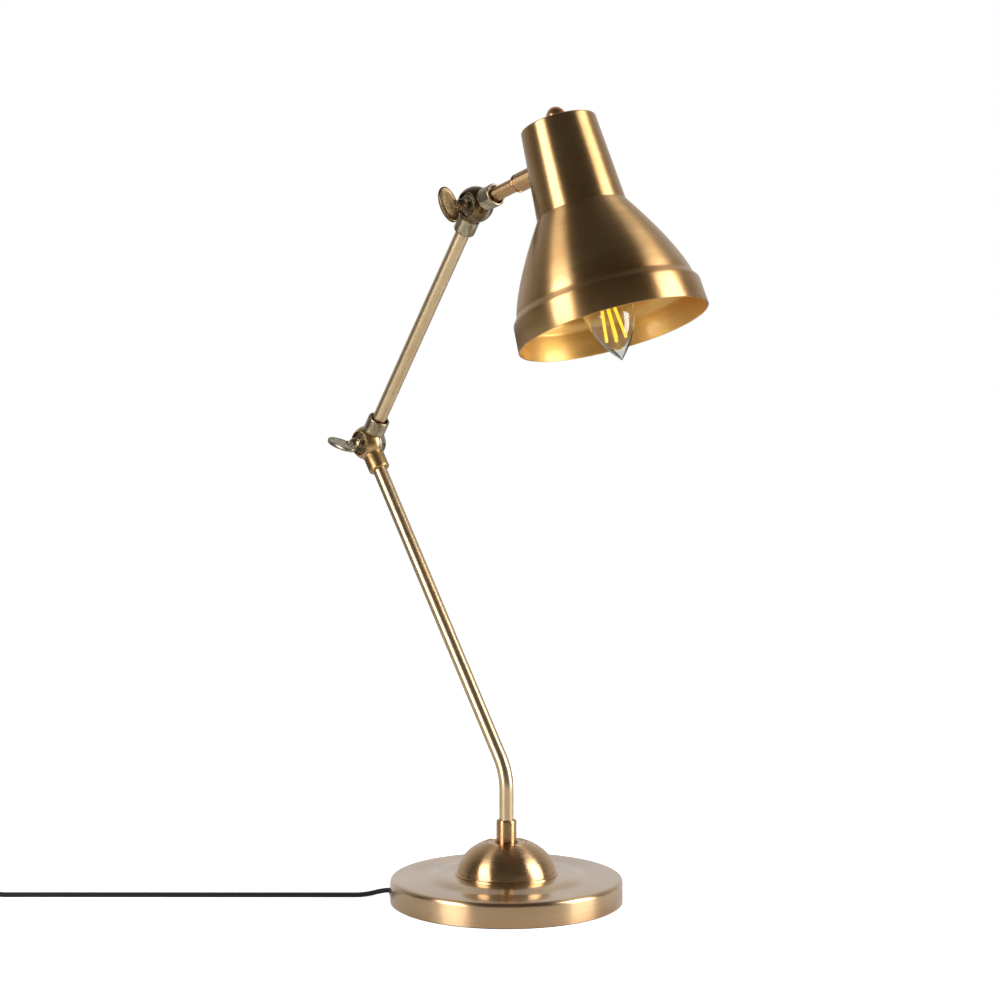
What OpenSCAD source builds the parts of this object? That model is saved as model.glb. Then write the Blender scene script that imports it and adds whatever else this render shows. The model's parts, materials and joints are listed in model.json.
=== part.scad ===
// Swing arm desk lamp: weighted round base, two tubular arms with clamped
// ball knuckles, and a spun shade on a pin. Millimetres, +Z up.
// The origin is the centre of the base's underside. The arms lie in the XZ
// plane with the shade towards +X, and both knuckles turn about Y.

/* [Base] */
// Diameter of the round base
base_d = 160; // [140:1:200]
// Height of the cover's rim above the table
base_h = 17.5; // [16:0.5:24]
// Rounding of the cover's top edge
base_edge_r = 3; // [2:0.5:4]
// Thickness of the spun brass sheet
sheet_t = 1.2; // [0.8:0.1:1.5]
// Height that the cover rises towards the dome
cover_rise = 2.2; // [1:0.1:4]
// Radius where the cover starts to rise
rise_out = 58; // [50:1:62]
// Radius where the rise ends
rise_in = 44; // [40:1:48]
// Thickness of the felt pad
felt_t = 1.5; // [1:0.1:2]
// Radius of the dome at its foot
dome_r = 34; // [30:0.5:38]
// Height of the dome's plateau above the cover
dome_h = 22.4; // [18:0.2:28]
// Radius of the dome's plateau
plateau_r = 15; // [14.5:0.1:17]

/* [Arms] */
// Outside diameter of both arm tubes
tube_d = 10; // [8:0.1:11]
// Wall of both arm tubes
tube_wall = 1; // [0.8:0.1:1.3]
// Height above the table of the corner in the lower tube
bend_z = 90; // [84:1:130]
// Radius of the bend along the tube's middle
bend_r = 40; // [30:1:60]
// Lean of the lower arm away from the shade, in degrees
lower_lean = 33; // [15:0.5:40]
// Length from the corner to the elbow's centre
lower_len = 261; // [200:1:340]
// Lean of the upper arm towards the shade, in degrees
upper_lean = 33.5; // [20:0.5:45]
// Length from the elbow's centre to the head's centre
upper_len = 202.5; // [160:0.5:280]
// Diameter of the collar at the foot of the lower tube
stem_collar_d = 14; // [13:0.1:15]
// Height of that collar above the dome
stem_collar_h = 15.4; // [12:0.1:24]

/* [Knuckles] */
// Radius of each knuckle's ball
ball_r = 12.5; // [12.2:0.1:16]
// Diameter of the collar on the front half
front_collar_d = 15; // [14.2:0.1:16]
// Distance of the front collar's end from the ball's centre
front_collar_end = 22.5; // [20:0.5:30]
// Diameter of the collar on the rear half
rear_collar_d = 15.6; // [15:0.1:17]
// Distance of the rear collar's end from the ball's centre
rear_collar_end = 21.5; // [20:0.5:30]
// Radius of the recess for the washers
recess_r = 8.3; // [7.8:0.1:8.6]
// Diameter of the wing screw's thread
screw_d = 5; // [4:0.5:6]
// Long side of the wing screw's paddle
paddle_l = 26; // [18:0.5:30]
// Short side of the wing screw's paddle
paddle_w = 15.5; // [12:0.5:20]
// Thickness of the paddle
paddle_t = 2.6; // [2:0.1:4]
// Turn of the elbow's paddle from level, in degrees
elbow_paddle_turn = 17; // [0:1:90]
// Turn of the head's paddle from level, in degrees
head_paddle_turn = 66; // [0:1:90]

/* [Shade] */
// Lean of the shade's axis away from the stem, in degrees
shade_lean = 21.2; // [10:0.2:35]
// Distance from the head's centre to the shade's axis
shade_reach = 93; // [84:0.5:110]
// Height of the head's centre above the shade's mouth
pin_height = 123.3; // [118:0.1:128]
// Droop of the pin towards the shade's mouth, in degrees
pin_droop = 2.4; // [0:0.1:4.5]
// Radius of the mouth
mouth_r = 64; // [58:0.5:72]
// Thickness of the shade's sheet
shade_t = 1; // [0.8:0.1:1.5]
// Height of the band at the mouth
band_h = 20; // [16:0.5:24]
// Inward step above the band
band_step = 3.4; // [2:0.1:5]
// Height of the neck's foot above the mouth
neck_z = 82.5; // [78:0.5:88]
// Radius of the neck at its foot
neck_r = 30.2; // [29:0.1:33]
// Height of the cap above the mouth
cap_z = 143.8; // [138:0.1:150]
// Radius of the cap
cap_r = 25.5; // [24.5:0.1:28]
// Diameter of the shade pin
pin_d = 9.6; // [9:0.1:9.8]
// Diameter of the collar on the shade pin
pin_collar_d = 13; // [12:0.1:15]
// Length of the collar on the shade pin
pin_collar_l = 23; // [16:0.5:26]
// Diameter of the finial nut
finial_d = 15.5; // [14:0.1:18]
// Height of the finial nut
finial_h = 12; // [10:0.1:15]

/* [Bulb] */
// Diameter of the candle bulb
bulb_d = 35; // [33:0.5:36]
// Length of the candle bulb with its cap
bulb_l = 98; // [96:0.5:100]
// How far the bulb's tip stands out of the mouth
bulb_out = 21; // [10:0.5:24]

/* [Cord] */
// Width of the flat cord
cord_w = 5; // [4.6:0.1:5.2]
// Thickness of the flat cord
cord_t = 3.1; // [2.8:0.1:3.2]

/* [Hidden] */

BRASS = "#a8814e";
DARK_BRASS = "#6e5a3a";
NICKEL = "#a39a82";
STEEL = "#8d8f92";
BLACK = "#17181a";
COPPER = "#b5763c";
WHITE = "#e8e4da";
GLASS = "#dfe8ee";

$fn = 72;
far = 400; // larger than anything that it cuts

// ---- Fits ----
seat = 0.05;       // radial gap of a seated or screwed joint
run_gap = 0.08;    // radial gap of a turning joint
face_gap = 0.2;    // gap between faces that turn on each other
room = 0.4;        // gap round a ball that turns past another piece
hide_gap = 0.3;    // gap of loose internal pieces

// ---- Base heights ----
cover_r = base_d/2;
rim_z = 0.8;                            // lower edge of the cover
cover_in_z = base_h - sheet_t;          // underside of the flat cover
dome_z = base_h + cover_rise;           // foot of the dome
plateau_z = dome_z + dome_h;
lip_w = 1.2;                            // width of the plateau's raised lip
dish_z = plateau_z - 1.2;               // sunk face inside the lip
flange_r = plateau_r - lip_w - hide_gap;
flange_t = 1;
boss_r = 10;                            // sleeve boss in the dome's hole
boss_h = 15.2;
shank_r = 8;                            // threaded shank of the sleeve
recess_z = 13.8;                        // roof of the weight's recess
recess_w = 20;                          // radius of that recess
nut_t = 3.5;
sleeve_nut_w = 24;                      // across its flats
shank_z = recess_z - nut_t - 0.2;       // lower end of the sleeve
washer_t = 0.8;
swivel_nut_t = 2.5;
swivel_nut_w = 16;
nipple_r = tube_d/2;
nipple_bore = 3.5;
nipple_z = shank_z - washer_t - swivel_nut_t - 0.3;
collar_r = stem_collar_d/2;
collar_z = plateau_z - 4.4;             // lower end of the stem collar
cup_gap = 0.9;                          // gap round the collar in the sleeve's cup
collar_top = plateau_z + stem_collar_h;
tube_z = collar_top - 7.8;              // where the tube stands on the nipple

// ---- Gland and cord exit ----
exit_turn = 216.87;                     // direction of the gland, degrees from +X
cord_z = 4.8;                           // height of the cord in the gland
gland_w = cord_w + 1.4;
gland_h = cord_t + 1.4;
lip_out = 1.5;                          // thickness of the gland's lips
lip_grow = 2;
lead_r = 1.6;
lead_bend = 4;                          // bend of the lead into the nipple
lead_low_z = felt_t + lead_r + 0.3;     // the lead dips to pass under the nipple
channel_z = cord_z + gland_h/2 + 3;     // roof of the weight's channel
clamp_l = 10;
clamp_w = 24;
clamp_t = 2.5;
clamp_x = cover_r - 24;                 // place of the cord clamp
clamp_screw_y = 9;
clamp_screw_r = 1.5;
clamp_hole_z = 9.5;                     // end of the tapped holes above the cord

// ---- Arm places ----
elbow_pos = [-lower_len*sin(lower_lean), 0, bend_z + lower_len*cos(lower_lean)];
head_pos = elbow_pos + upper_len*[sin(upper_lean), 0, cos(upper_lean)];
bend_run = bend_r*tan(lower_lean/2);
socket_end = ball_r;                    // tube ends stop here
lead_stop = socket_end + 1;             // leads end this far from a ball's centre
tube_bore = tube_d/2 - tube_wall;

// ---- Knuckle ----
seam = 0.3;                             // gap between the two halves
recess_floor = 5.5;                     // depth plane of the washer recess
wire_r = 2.1;                           // way for the flex in each half
wire_y = 2.6;                           // that way's distance from the seam
chamber_r = 7.2;
chamber_front = 3;
chamber_rear = 4.5;
fillet_r = 3;                           // cove between ball and collar
spring_t = 1.2;
plate_t = 1.6;
washer_r = recess_r - 1.6;
shoulder_y = recess_floor + spring_t + plate_t;
thread_end = 9;                         // depth of the tapped hole
thread_r = screw_d/2;
sleeve_depth = 5;                       // counterbore in the rear collar
sleeve_r = rear_collar_d/2 - 1.4;
paddle_y = 25;                          // paddle centre from the ball's centre

// ---- Shade ----
shade_side = [cos(shade_lean), 0, sin(shade_lean)];
shade_up = [-sin(shade_lean), 0, cos(shade_lean)];
mouth_pos = head_pos + shade_reach*shade_side - pin_height*shade_up;
pin_turn = 90 - shade_lean + pin_droop; // the pin's lean from upright
band_r = mouth_r - 1.1;                 // radius at the top of the band
bell_r = band_r - band_step;            // radius where the bell starts
bell_z = band_h + 3;
bell_curve = 1.3;                       // 1 is a straight cone, more is rounder
neck_slope = (neck_r - cap_r)/(cap_z - neck_z);
function neck_at(z) = neck_r - neck_slope*(z - neck_z);
cap_edge = 1.4;
pin_wall_z = pin_height - (shade_reach - cap_r)*tan(pin_droop);
pin_wall = (shade_reach - neck_at(pin_wall_z))/cos(pin_droop); // the neck, from the head
pin_end = pin_wall + 8;                 // pin's inner end from the head
pin_nut_t = 3.5;
pin_nut_w = 14;
nipple_d = 10;                          // thread that carries the holder and the finial
holder_nut_t = 3.5;
holder_nut_w = 14;

// ---- Bulb and holder, measured up from the mouth ----
contact_z = bulb_l - bulb_out;          // upper end of the bulb's contact
e14_r = 6.9;
e14_len = 19;
thread_pitch = 2.6;
contact_h = 3.5;
cap_top = contact_z - contact_h;        // upper end of the bulb's threaded cap
cap_skirt = cap_top - e14_len;          // joint of the glass and its cap
holder_z = cap_skirt + 2;               // mouth of the holder
holder_top = contact_z + 24;
holder_r = 14;
holder_wall = 1.8;
insert_z = contact_z + 2.4;             // underside of the ceramic insert
insert_h = 6;
lead_drop = 9;                          // the lead comes down this far from the axis
candle_point = 2.1;                     // 1 is a straight cone, more is rounder
filament_z = 14;                        // lower ends of the filaments above the tip
filament_l = 30;
filament_r = 1;
filament_lean = 6;
filament_ring = 3.4;                    // the filaments' upper ends, from the axis

// ---- Inline switch, laid along the cord ----
cord_turn = 226.17;                     // heading of the laid cord, degrees from +X
switch_pos = [-283.4, -275.6];
switch_l = 58.4;
switch_w = 26;
switch_h = 17;
switch_wall = 1.8;
switch_split = 8.5;
switch_flat = 9;                        // width of the flat at each end
post_at = [19, 7.5];                    // screw posts from the middle
post_r = 3;
rocker_l = 18;
rocker_w = 10;
rocker_z = 13;                          // height of the rocker's pivot
rocker_tilt = 6;
rocker_pin_r = 1.2;
rocker_play = 0.4;
cheek_t = 2;

// ---- Plug ----
plug_l = 36;
plug_w = 35.3;
plug_t = 13.7;
relief_l = 22;
pin_gap = 19;                           // distance between the plug's pins
plug_pin_r = 2;
plug_pin_l = 19;

// ---- Cord route ----
// on the table, the middle of the flat cord is half its thickness up
COIL_C = [-352, -297];                  // centre of the coil
coil_lift = 1;                          // the tie passes underneath
coil_in = 20.8;
coil_out = 36.2;
coil_h = 10.2;
tie_t = 0.8;
tie_turn = 40;                          // where the tie sits round the coil
tie_span = 14;
// from the gland to the inline switch
ROUTE_A = [
    [-65.2, -48.9, 4.8], [-67.6, -50.7, 4.8], [-71.4, -53.9, 3.9], [-75.8, -58.6, 2.4],
    [-80.4, -63.9, 1.6], [-86, -70, 1.55], [-103.3, -88, 1.55], [-120.6, -106, 1.55],
    [-137.9, -124.1, 1.55], [-155.2, -142.1, 1.55], [-172.5, -160.1, 1.55],
    [-189.9, -178.2, 1.55], [-207.2, -196.2, 1.55], [-224.5, -214.2, 1.55],
    [-239.7, -230.1, 1.55], [-252.2, -243.1, 1.6], [-256.3, -247.4, 2.4],
    [-259.6, -250.8, 4.2], [-263.2, -254.5, 4.8]
];
// from the switch to the coil's lower layer
ROUTE_B = [
    [-303.6, -296.7, 4.8], [-309, -302.3, 4.3], [-315.2, -308.7, 3.6],
    [-321.4, -315.2, 3.5], [-327, -321, 3.5]
];
// from the coil's upper layer to the plug
ROUTE_C = [
    [-386.6, -297, 8.6], [-386.6, -289, 8.5], [-386.6, -280, 7.9],
    [-386.6, -272, 7], [-386.6, -266, 6.85], [-386.6, -263, 6.85]
];
plug_pos = [-386.6, -263, plug_t/2];    // cord end of the strain relief

// ================= Helpers =================

function last(list) = list[len(list) - 1];

// a quarter round from one direction to another, about a centre
function arc(centre, r, from, to, n = 8) =
    [for (i = [0:n]) centre + r*[cos(from + (to - from)*i/n), sin(from + (to - from)*i/n)]];

module hexagon(across, h) {
    cylinder(r = across/sqrt(3), h = h, $fn = 6);
}

// a ring standing on z = 0
module ring(r_out, r_in, h) {
    difference() {
        cylinder(r = r_out, h = h);
        translate([0, 0, -1]) cylinder(r = r_in, h = h + 2);
    }
}

// a round bar along +X from the origin
module bar_x(r, l) {
    rotate([0, 90, 0]) cylinder(r = r, h = l);
}

// a bar of flat oval section along +X from the origin
module flat_bar(w, t, l) {
    translate([0, -(w - t)/2, -t/2]) cube([l, w - t, t]);
    for (side = [-1, 1])
        translate([0, side*(w - t)/2, 0]) bar_x(t/2, l);
}

// a point of a smooth curve through four points, at u from b to c
function smooth_at(a, b, c, d, u) =
    0.5*(2*b + (c - a)*u + (2*a - 5*b + 4*c - d)*u*u + (3*b - a - 3*c + d)*u*u*u);

// the route with a point added halfway along each stretch longer than gap
function smooth_route(p, gap) = [
    for (i = [0:len(p) - 2])
        for (u = norm(p[i + 1] - p[i]) > gap ? [0, 0.5] : [0])
            smooth_at(p[max(i - 1, 0)], p[i], p[i + 1], p[min(i + 2, len(p) - 1)], u),
    last(p)
];

function heading(p, i) =
    let (v = p[min(i + 1, len(p) - 1)] - p[max(i - 1, 0)]) v/norm(v);

// one oval ring of the cord; roll turns it from flat to on edge
function cord_ring(p, i, roll, sides) =
    let (
        t = heading(p, i),
        level = cross(t, [0, 0, 1])/norm(cross(t, [0, 0, 1])),
        up = cross(level, t)
    )
    [for (k = [0:sides - 1])
        let (
            a = 360*(k + 0.5)/sides,
            u = cord_w/2*cos(a)/cos(180/sides),
            v = cord_t/2*sin(a)/cos(180/sides)
        )
        p[i] + level*(u*cos(roll) - v*sin(roll)) + up*(u*sin(roll) + v*cos(roll))];

// a round bar swept along a line of [x, z] points in the XZ plane
module round_sweep(line, r, sides) {
    n = len(line);
    points = [for (i = [0:n - 1])
        let (
            v = line[min(i + 1, n - 1)] - line[max(i - 1, 0)],
            side = [-v[1], v[0]]/norm(v)
        )
        each [for (k = [0:sides - 1]) let (a = 360*k/sides)
            [line[i][0] + r*cos(a)*side[0], r*sin(a), line[i][1] + r*cos(a)*side[1]]]];
    polyhedron(points = points, faces = tube_faces(n, sides));
}

// walls and ends of a tube of n rings
function tube_faces(n, sides) = concat(
    [for (i = [0:n - 2]) for (k = [0:sides - 1])
        let (a = i*sides + k, b = i*sides + (k + 1)%sides)
        each [[a, b, b + sides], [a, b + sides, a + sides]]],
    [[for (k = [sides - 1:-1:0]) k], [for (k = [0:sides - 1]) (n - 1)*sides + k]]
);

// a flat cord swept along its route
module cord_tube(route, roll_from, roll_to, sides = 8) {
    p = smooth_route(route, 3*cord_w);
    n = len(p);
    points = [for (i = [0:n - 1])
        each cord_ring(p, i, roll_from + (roll_to - roll_from)*i/(n - 1), sides)];
    polyhedron(points = points, faces = tube_faces(n, sides));
}

// ================= Base =================

// outer line of the cover from the rim to the hole, for a given wall inset
function cover_line(inset) =
    let (
        r = cover_r - inset,
        h = base_h - inset,
        e = max(base_edge_r - inset, 0.4)
    )
    concat(
        [[r, rim_z]],
        arc([r - e, h - e], e, 0, 90, 6),
        [for (i = [0:8]) [rise_out - (rise_out - rise_in)*i/8, h + cover_rise*(1 - cos(22.5*i))/2]],
        [[shank_r + seat, h + cover_rise]]
    );

function reversed(list) = [for (i = [len(list) - 1:-1:0]) list[i]];

module cover_shell() {
    rotate_extrude($fn = 144)
        polygon(concat(cover_line(0), reversed(cover_line(sheet_t))));
}

module base_cover() {
    color(BRASS) difference() {
        cover_shell();
        gland_hole();
    }
}

module at_exit() {
    rotate([0, 0, exit_turn]) translate([0, 0, cord_z]) children();
}

module gland_hole() {
    at_exit() translate([cover_r - 8, 0, 0])
        flat_bar(gland_w + 2*seat, gland_h + 2*seat, 12);
}

module base_weight() {
    weight_r = cover_r - sheet_t - hide_gap;
    top = cover_in_z;
    color("#3b3b3d") difference() {
        rotate_extrude($fn = 144) polygon([
            [shank_r + seat, felt_t], [weight_r, felt_t],
            [weight_r, top - base_edge_r], [weight_r - base_edge_r, top],
            [shank_r + seat, top]
        ]);
        translate([0, 0, felt_t - 1]) cylinder(r = recess_w, h = recess_z - felt_t + 1);
        // channel for the cord, open to the felt
        at_exit() translate([0, -gland_w/2 - 2, -cord_z])
            cube([cover_r, gland_w + 4, channel_z]);
        // pocket and tapped holes for the clamp
        at_exit() {
            translate([clamp_x - clamp_l/2 - 1, -clamp_w/2 - 1, -cord_z])
                cube([clamp_l + 2, clamp_w + 2, channel_z]);
            for (side = [-1, 1])
                translate([clamp_x, side*clamp_screw_y, 0])
                    cylinder(r = clamp_screw_r + seat, h = clamp_hole_z, $fn = 32);
        }
    }
}

module base_felt() {
    felt_r = cover_r - sheet_t - hide_gap;
    color("#1c1c1e") cylinder(r = felt_r, h = felt_t, $fn = 144);
}

// line of the dome from foot to plateau lip; inset gives the inner wall
function dome_line(inset) =
    let (
        a = dome_r - inset,
        h_full = dome_h/sqrt(1 - pow(plateau_r/dome_r, 2)),
        b = h_full - inset,
        stop = acos((plateau_r - inset*0.5)/a)
    )
    [for (i = [0:14]) [a*cos(stop*i/14), dome_z + b*sin(stop*i/14)]];

module base_dome() {
    outer = dome_line(0);
    inner = dome_line(sheet_t);
    bead_r = dome_r + 1.3;
    color(BRASS) rotate_extrude($fn = 120) polygon(concat(
        [[dome_r - sheet_t, dome_z], [bead_r, dome_z], [bead_r, dome_z + 0.8], [dome_r, dome_z + 1.4]],
        [for (i = [1:14]) outer[i]],
        [[plateau_r - lip_w, plateau_z], [plateau_r - lip_w - 0.2, dish_z],
         [boss_r + seat, dish_z], [boss_r + seat, dish_z - sheet_t]],
        [for (i = [13:-1:1]) inner[i]]
    ));
}

module pivot_sleeve() {
    color(BRASS) difference() {
        union() {
            translate([0, 0, dish_z]) cylinder(r = flange_r, h = flange_t);
            translate([0, 0, dish_z - boss_h]) cylinder(r = boss_r, h = boss_h);
            translate([0, 0, shank_z]) cylinder(r = shank_r, h = dish_z - shank_z);
        }
        translate([0, 0, shank_z - 1]) cylinder(r = nipple_r + run_gap, h = plateau_z);
        translate([0, 0, collar_z - face_gap]) cylinder(r = collar_r + cup_gap, h = plateau_z);
    }
}

module sleeve_nut() {
    color(STEEL) translate([0, 0, recess_z - nut_t]) difference() {
        hexagon(sleeve_nut_w, nut_t);
        translate([0, 0, -1]) cylinder(r = shank_r + seat, h = nut_t + 2);
    }
}

module cord_gland() {
    neck = sheet_t + 2*lip_out;
    color(BLACK) at_exit() difference() {
        union() {
            translate([cover_r - sheet_t - lip_out, 0, 0]) flat_bar(gland_w, gland_h, neck);
            translate([cover_r - sheet_t - lip_out, 0, 0])
                flat_bar(gland_w + lip_grow, gland_h + lip_grow, lip_out - 0.5);
            translate([cover_r, 0, 0])
                flat_bar(gland_w + lip_grow, gland_h + lip_grow, lip_out);
        }
        translate([cover_r - 10, 0, 0]) flat_bar(cord_w + 2*seat, cord_t + 2*seat, 20);
    }
}

// a saddle round the cord, screwed up against the channel's roof
module cord_clamp() {
    color("#e6e1d2") at_exit() difference() {
        union() {
            translate([clamp_x - clamp_l/2, -gland_w/2 - 1.2, -cord_t/2 - 1])
                cube([clamp_l, gland_w + 2.4, channel_z - cord_z + cord_t/2 + 1]);
            translate([clamp_x - clamp_l/2, -clamp_w/2, channel_z - cord_z - clamp_t])
                cube([clamp_l, clamp_w, clamp_t]);
        }
        translate([clamp_x - clamp_l, 0, 0])
            flat_bar(cord_w + 2*seat, cord_t + 2*seat, 2*clamp_l);
        for (side = [-1, 1]) translate([clamp_x, side*clamp_screw_y, -1])
            cylinder(r = clamp_screw_r + seat, h = far, $fn = 32);
    }
}

module clamp_screws() {
    head_z = channel_z - cord_z - clamp_t;
    color(STEEL) at_exit() for (side = [-1, 1])
        translate([clamp_x, side*clamp_screw_y, 0]) {
            translate([0, 0, head_z - 1.8]) cylinder(r = 2.8, h = 1.8, $fn = 32);
            translate([0, 0, head_z - 0.5])
                cylinder(r = clamp_screw_r, h = clamp_hole_z - head_z, $fn = 32);
        }
}

module base_lead() {
    lead_start = clamp_x - clamp_l;
    color(BLACK) {
        at_exit() translate([lead_start, 0, 0])
            flat_bar(cord_w, cord_t, cover_r + lip_out - lead_start);
        rotate([0, 0, exit_turn]) round_sweep(concat(
            [[lead_start + 1, cord_z], [lead_start*0.6, (cord_z + lead_low_z)/2],
             [lead_start*0.3, lead_low_z]],
            arc([lead_bend, lead_low_z + lead_bend], lead_bend, 270, 180, 6)
        ), lead_r, 16);
    }
}

// ================= Swivel =================

module swivel_nipple() {
    color(STEEL) translate([0, 0, nipple_z]) ring(nipple_r, nipple_bore, tube_z - nipple_z);
}

module friction_washer() {
    color(STEEL) translate([0, 0, shank_z - washer_t])
        ring(shank_r + 1, nipple_r + seat, washer_t - seat);
}

module swivel_nut() {
    color(STEEL) translate([0, 0, shank_z - washer_t - swivel_nut_t]) difference() {
        hexagon(swivel_nut_w, swivel_nut_t);
        translate([0, 0, -1]) cylinder(r = nipple_r + seat, h = swivel_nut_t + 2);
    }
}

module stem_collar() {
    edge = 1.2;
    color(BRASS) rotate_extrude() polygon(concat(
        [[nipple_r + seat, collar_z], [collar_r, collar_z]],
        arc([collar_r - edge, collar_top - edge], edge, 0, 90, 4),
        [[nipple_r + seat, collar_top]]
    ));
}

// the line of the lower tube from its foot to a stop short of the elbow
function lower_line(foot, stop) = concat(
    [[0, foot]],
    arc([-bend_r, bend_z - bend_run], bend_r, 0, lower_lean, 12),
    [[0, bend_z] + (lower_len - stop)*[-sin(lower_lean), cos(lower_lean)]]
);

module lower_tube() {
    color(BRASS) difference() {
        round_sweep(lower_line(tube_z, socket_end), tube_d/2, 36);
        round_sweep(lower_line(tube_z - 1, socket_end - 1), tube_bore, 36);
    }
}

module lower_lead() {
    color(BLACK) round_sweep(lower_line(lead_low_z + 2*lead_bend, lead_stop), lead_r, 12);
}

// ================= Knuckles =================
// Each knuckle is drawn at its ball's centre with the hinge along Y, the wing
// screw towards -Y and its collar along Z.

// the half space in front of the seam, or behind it
module half_space(front) {
    translate([-far/2, front ? -far - seam/2 : seam/2, -far/2]) cube([far, far, far]);
}

// cove between the ball and a collar of the given radius, towards +Z
module cove(collar_r) {
    run = ball_r + fillet_r;
    z = sqrt(run*run - pow(collar_r + fillet_r, 2));
    start = 180 + atan2(z, collar_r + fillet_r);
    rotate_extrude() polygon(concat(
        [[collar_r - 2, 0]],
        [for (i = [0:6]) let (a = start + (180 - start)*i/6)
            [collar_r + fillet_r + fillet_r*cos(a), z + fillet_r*sin(a)]],
        [[collar_r - 2, z]]
    ));
}

// a collar along +Z from the ball's centre, its end rounded
module collar(r, end, edge) {
    rotate_extrude() polygon(concat(
        [[0, 0], [r, 0], [r, end - edge]],
        arc([r - edge, end - edge], edge, 0, 90, 4),
        [[0, end]]
    ));
}

// what the other half's ball needs to turn past a collar
module ball_room(front) {
    difference() {
        sphere(r = ball_r + room, $fn = 96);
        half_space(front);
    }
}

// bores for the tube and the flex, along +Z; the flex keeps to one side of the seam
module socket(end, tube_r, side) {
    translate([0, side*wire_y, 0]) cylinder(r = wire_r, h = end);
    translate([0, 0, socket_end]) cylinder(r = tube_r + seat, h = end);
}

// the front half: recess for the washers, clearance hole for the screw
module knuckle_front(tube_r) {
    difference() {
        union() {
            sphere(r = ball_r, $fn = 96);
            rotate([180, 0, 0]) collar(front_collar_d/2, front_collar_end, 1);
            rotate([180, 0, 0]) cove(front_collar_d/2);
        }
        ball_room(true);
        rotate([90, 0, 0]) {
            translate([0, 0, recess_floor]) cylinder(r = recess_r, h = far);
            translate([0, 0, -1]) cylinder(r = chamber_r, h = 1 + chamber_front);
            cylinder(r = thread_r + 0.3, h = far);
        }
        rotate([180, 0, 0]) socket(front_collar_end, tube_r, 1);
    }
}

// the rear half: wire chamber, tapped hole, counterbored collar
module knuckle_rear(tube_r) {
    difference() {
        union() {
            sphere(r = ball_r, $fn = 96);
            collar(rear_collar_d/2, rear_collar_end, 0.6);
        }
        ball_room(false);
        rotate([-90, 0, 0]) {
            translate([0, 0, -1]) cylinder(r = chamber_r, h = 1 + chamber_rear);
            cylinder(r = thread_r + seat, h = thread_end);
        }
        socket(rear_collar_end, tube_r, 1);
        translate([0, 0, rear_collar_end - sleeve_depth])
            cylinder(r = sleeve_r, h = sleeve_depth + 1);
    }
}

module spring_ring() {
    rotate([90, 0, 0]) translate([0, 0, recess_floor])
        ring(washer_r, thread_r + 0.3, spring_t);
}

module plate_ring() {
    rotate([90, 0, 0]) translate([0, 0, recess_floor + spring_t])
        ring(washer_r, thread_r + 0.3, plate_t);
}

// an oval plate standing on edge, long side along X, middle at the origin
module paddle() {
    half = paddle_t/2;
    edge = 0.6;
    rotate([90, 0, 0]) for (layer = [[half, edge], [half - edge, 0]])
        translate([0, 0, -layer[0]]) linear_extrude(2*layer[0])
            polygon([for (i = [0:47])
                [(paddle_l/2 - layer[1])*cos(7.5*i), (paddle_w/2 - layer[1])*sin(7.5*i)]]);
}

module wing_screw(turn) {
    rotate([90, 0, 0]) rotate([0, 0, turn]) {
        translate([0, 0, -thread_end + 1]) cylinder(r = thread_r, h = shoulder_y + thread_end);
        translate([0, 0, shoulder_y]) cylinder(r = thread_r + 1, h = 5);
        translate([0, 0, shoulder_y + 5]) sphere(r = 4.2, $fn = 48);
        translate([0, 0, shoulder_y + 5]) cylinder(r = 2.6, h = paddle_y - shoulder_y - 10);
        translate([0, 0, paddle_y]) paddle();
    }
}

// places a knuckle's rear half or its front half on the arms
module at_elbow(lean) { translate(elbow_pos) rotate([0, lean, 0]) children(); }
module at_head(lean) { translate(head_pos) rotate([0, lean, 0]) children(); }

module elbow_front() { color("#8a6a35") at_elbow(-lower_lean) knuckle_front(tube_d/2); }
module elbow_spring() { color(STEEL) at_elbow(-lower_lean) spring_ring(); }
module elbow_washer() { color(NICKEL) at_elbow(-lower_lean) plate_ring(); }
module elbow_rear() { color(NICKEL) at_elbow(upper_lean) knuckle_rear(tube_d/2); }
module elbow_wing_screw() { color(NICKEL) at_elbow(0) wing_screw(-elbow_paddle_turn); }

module upper_tube() {
    color(BRASS) at_elbow(upper_lean) translate([0, 0, socket_end])
        ring(tube_d/2, tube_bore, upper_len - 2*socket_end);
}

module upper_lead() {
    color(BLACK) at_elbow(upper_lean) translate([0, 0, lead_stop])
        cylinder(r = lead_r, h = upper_len - 2*lead_stop);
}

module head_front() { color(DARK_BRASS) at_head(upper_lean) knuckle_front(tube_d/2); }
module head_spring() { color(STEEL) at_head(upper_lean) spring_ring(); }
module head_washer() { color(NICKEL) at_head(upper_lean) plate_ring(); }
module head_rear() { color(NICKEL) on_pin() knuckle_rear(pin_d/2); }
module head_wing_screw() { color(DARK_BRASS) at_head(0) wing_screw(-head_paddle_turn); }

// ================= Shade =================

// the shade's own frame: mouth at z = 0, axis up, pin coming from -X
module in_shade() { translate(mouth_pos) rotate([0, -shade_lean, 0]) children(); }
// along the pin from the head's centre
module on_pin() { at_head(pin_turn) children(); }

module shade_pin() {
    color(BRASS) on_pin() translate([0, 0, socket_end])
        ring(pin_d/2, pin_d/2 - 1.6, pin_end - socket_end);
}

// the collar butts on the neck's outer wall
module shade_collar() {
    start = pin_wall - pin_collar_l;
    r = pin_collar_d/2;
    color(BRASS) difference() {
        on_pin() rotate_extrude() polygon(concat(
            [[pin_d/2 + seat, start], [r - 0.8, start]],
            arc([r - 0.8, start + 0.8], 0.8, -90, 90, 6),
            [[r - 0.4, start + 1.8], [r - 0.4, start + 2.4], [r, start + 3],
             [r, start + pin_collar_l + 3], [pin_d/2 + seat, start + pin_collar_l + 3]]
        ));
        in_shade() neck_solid(0);
    }
}

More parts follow.
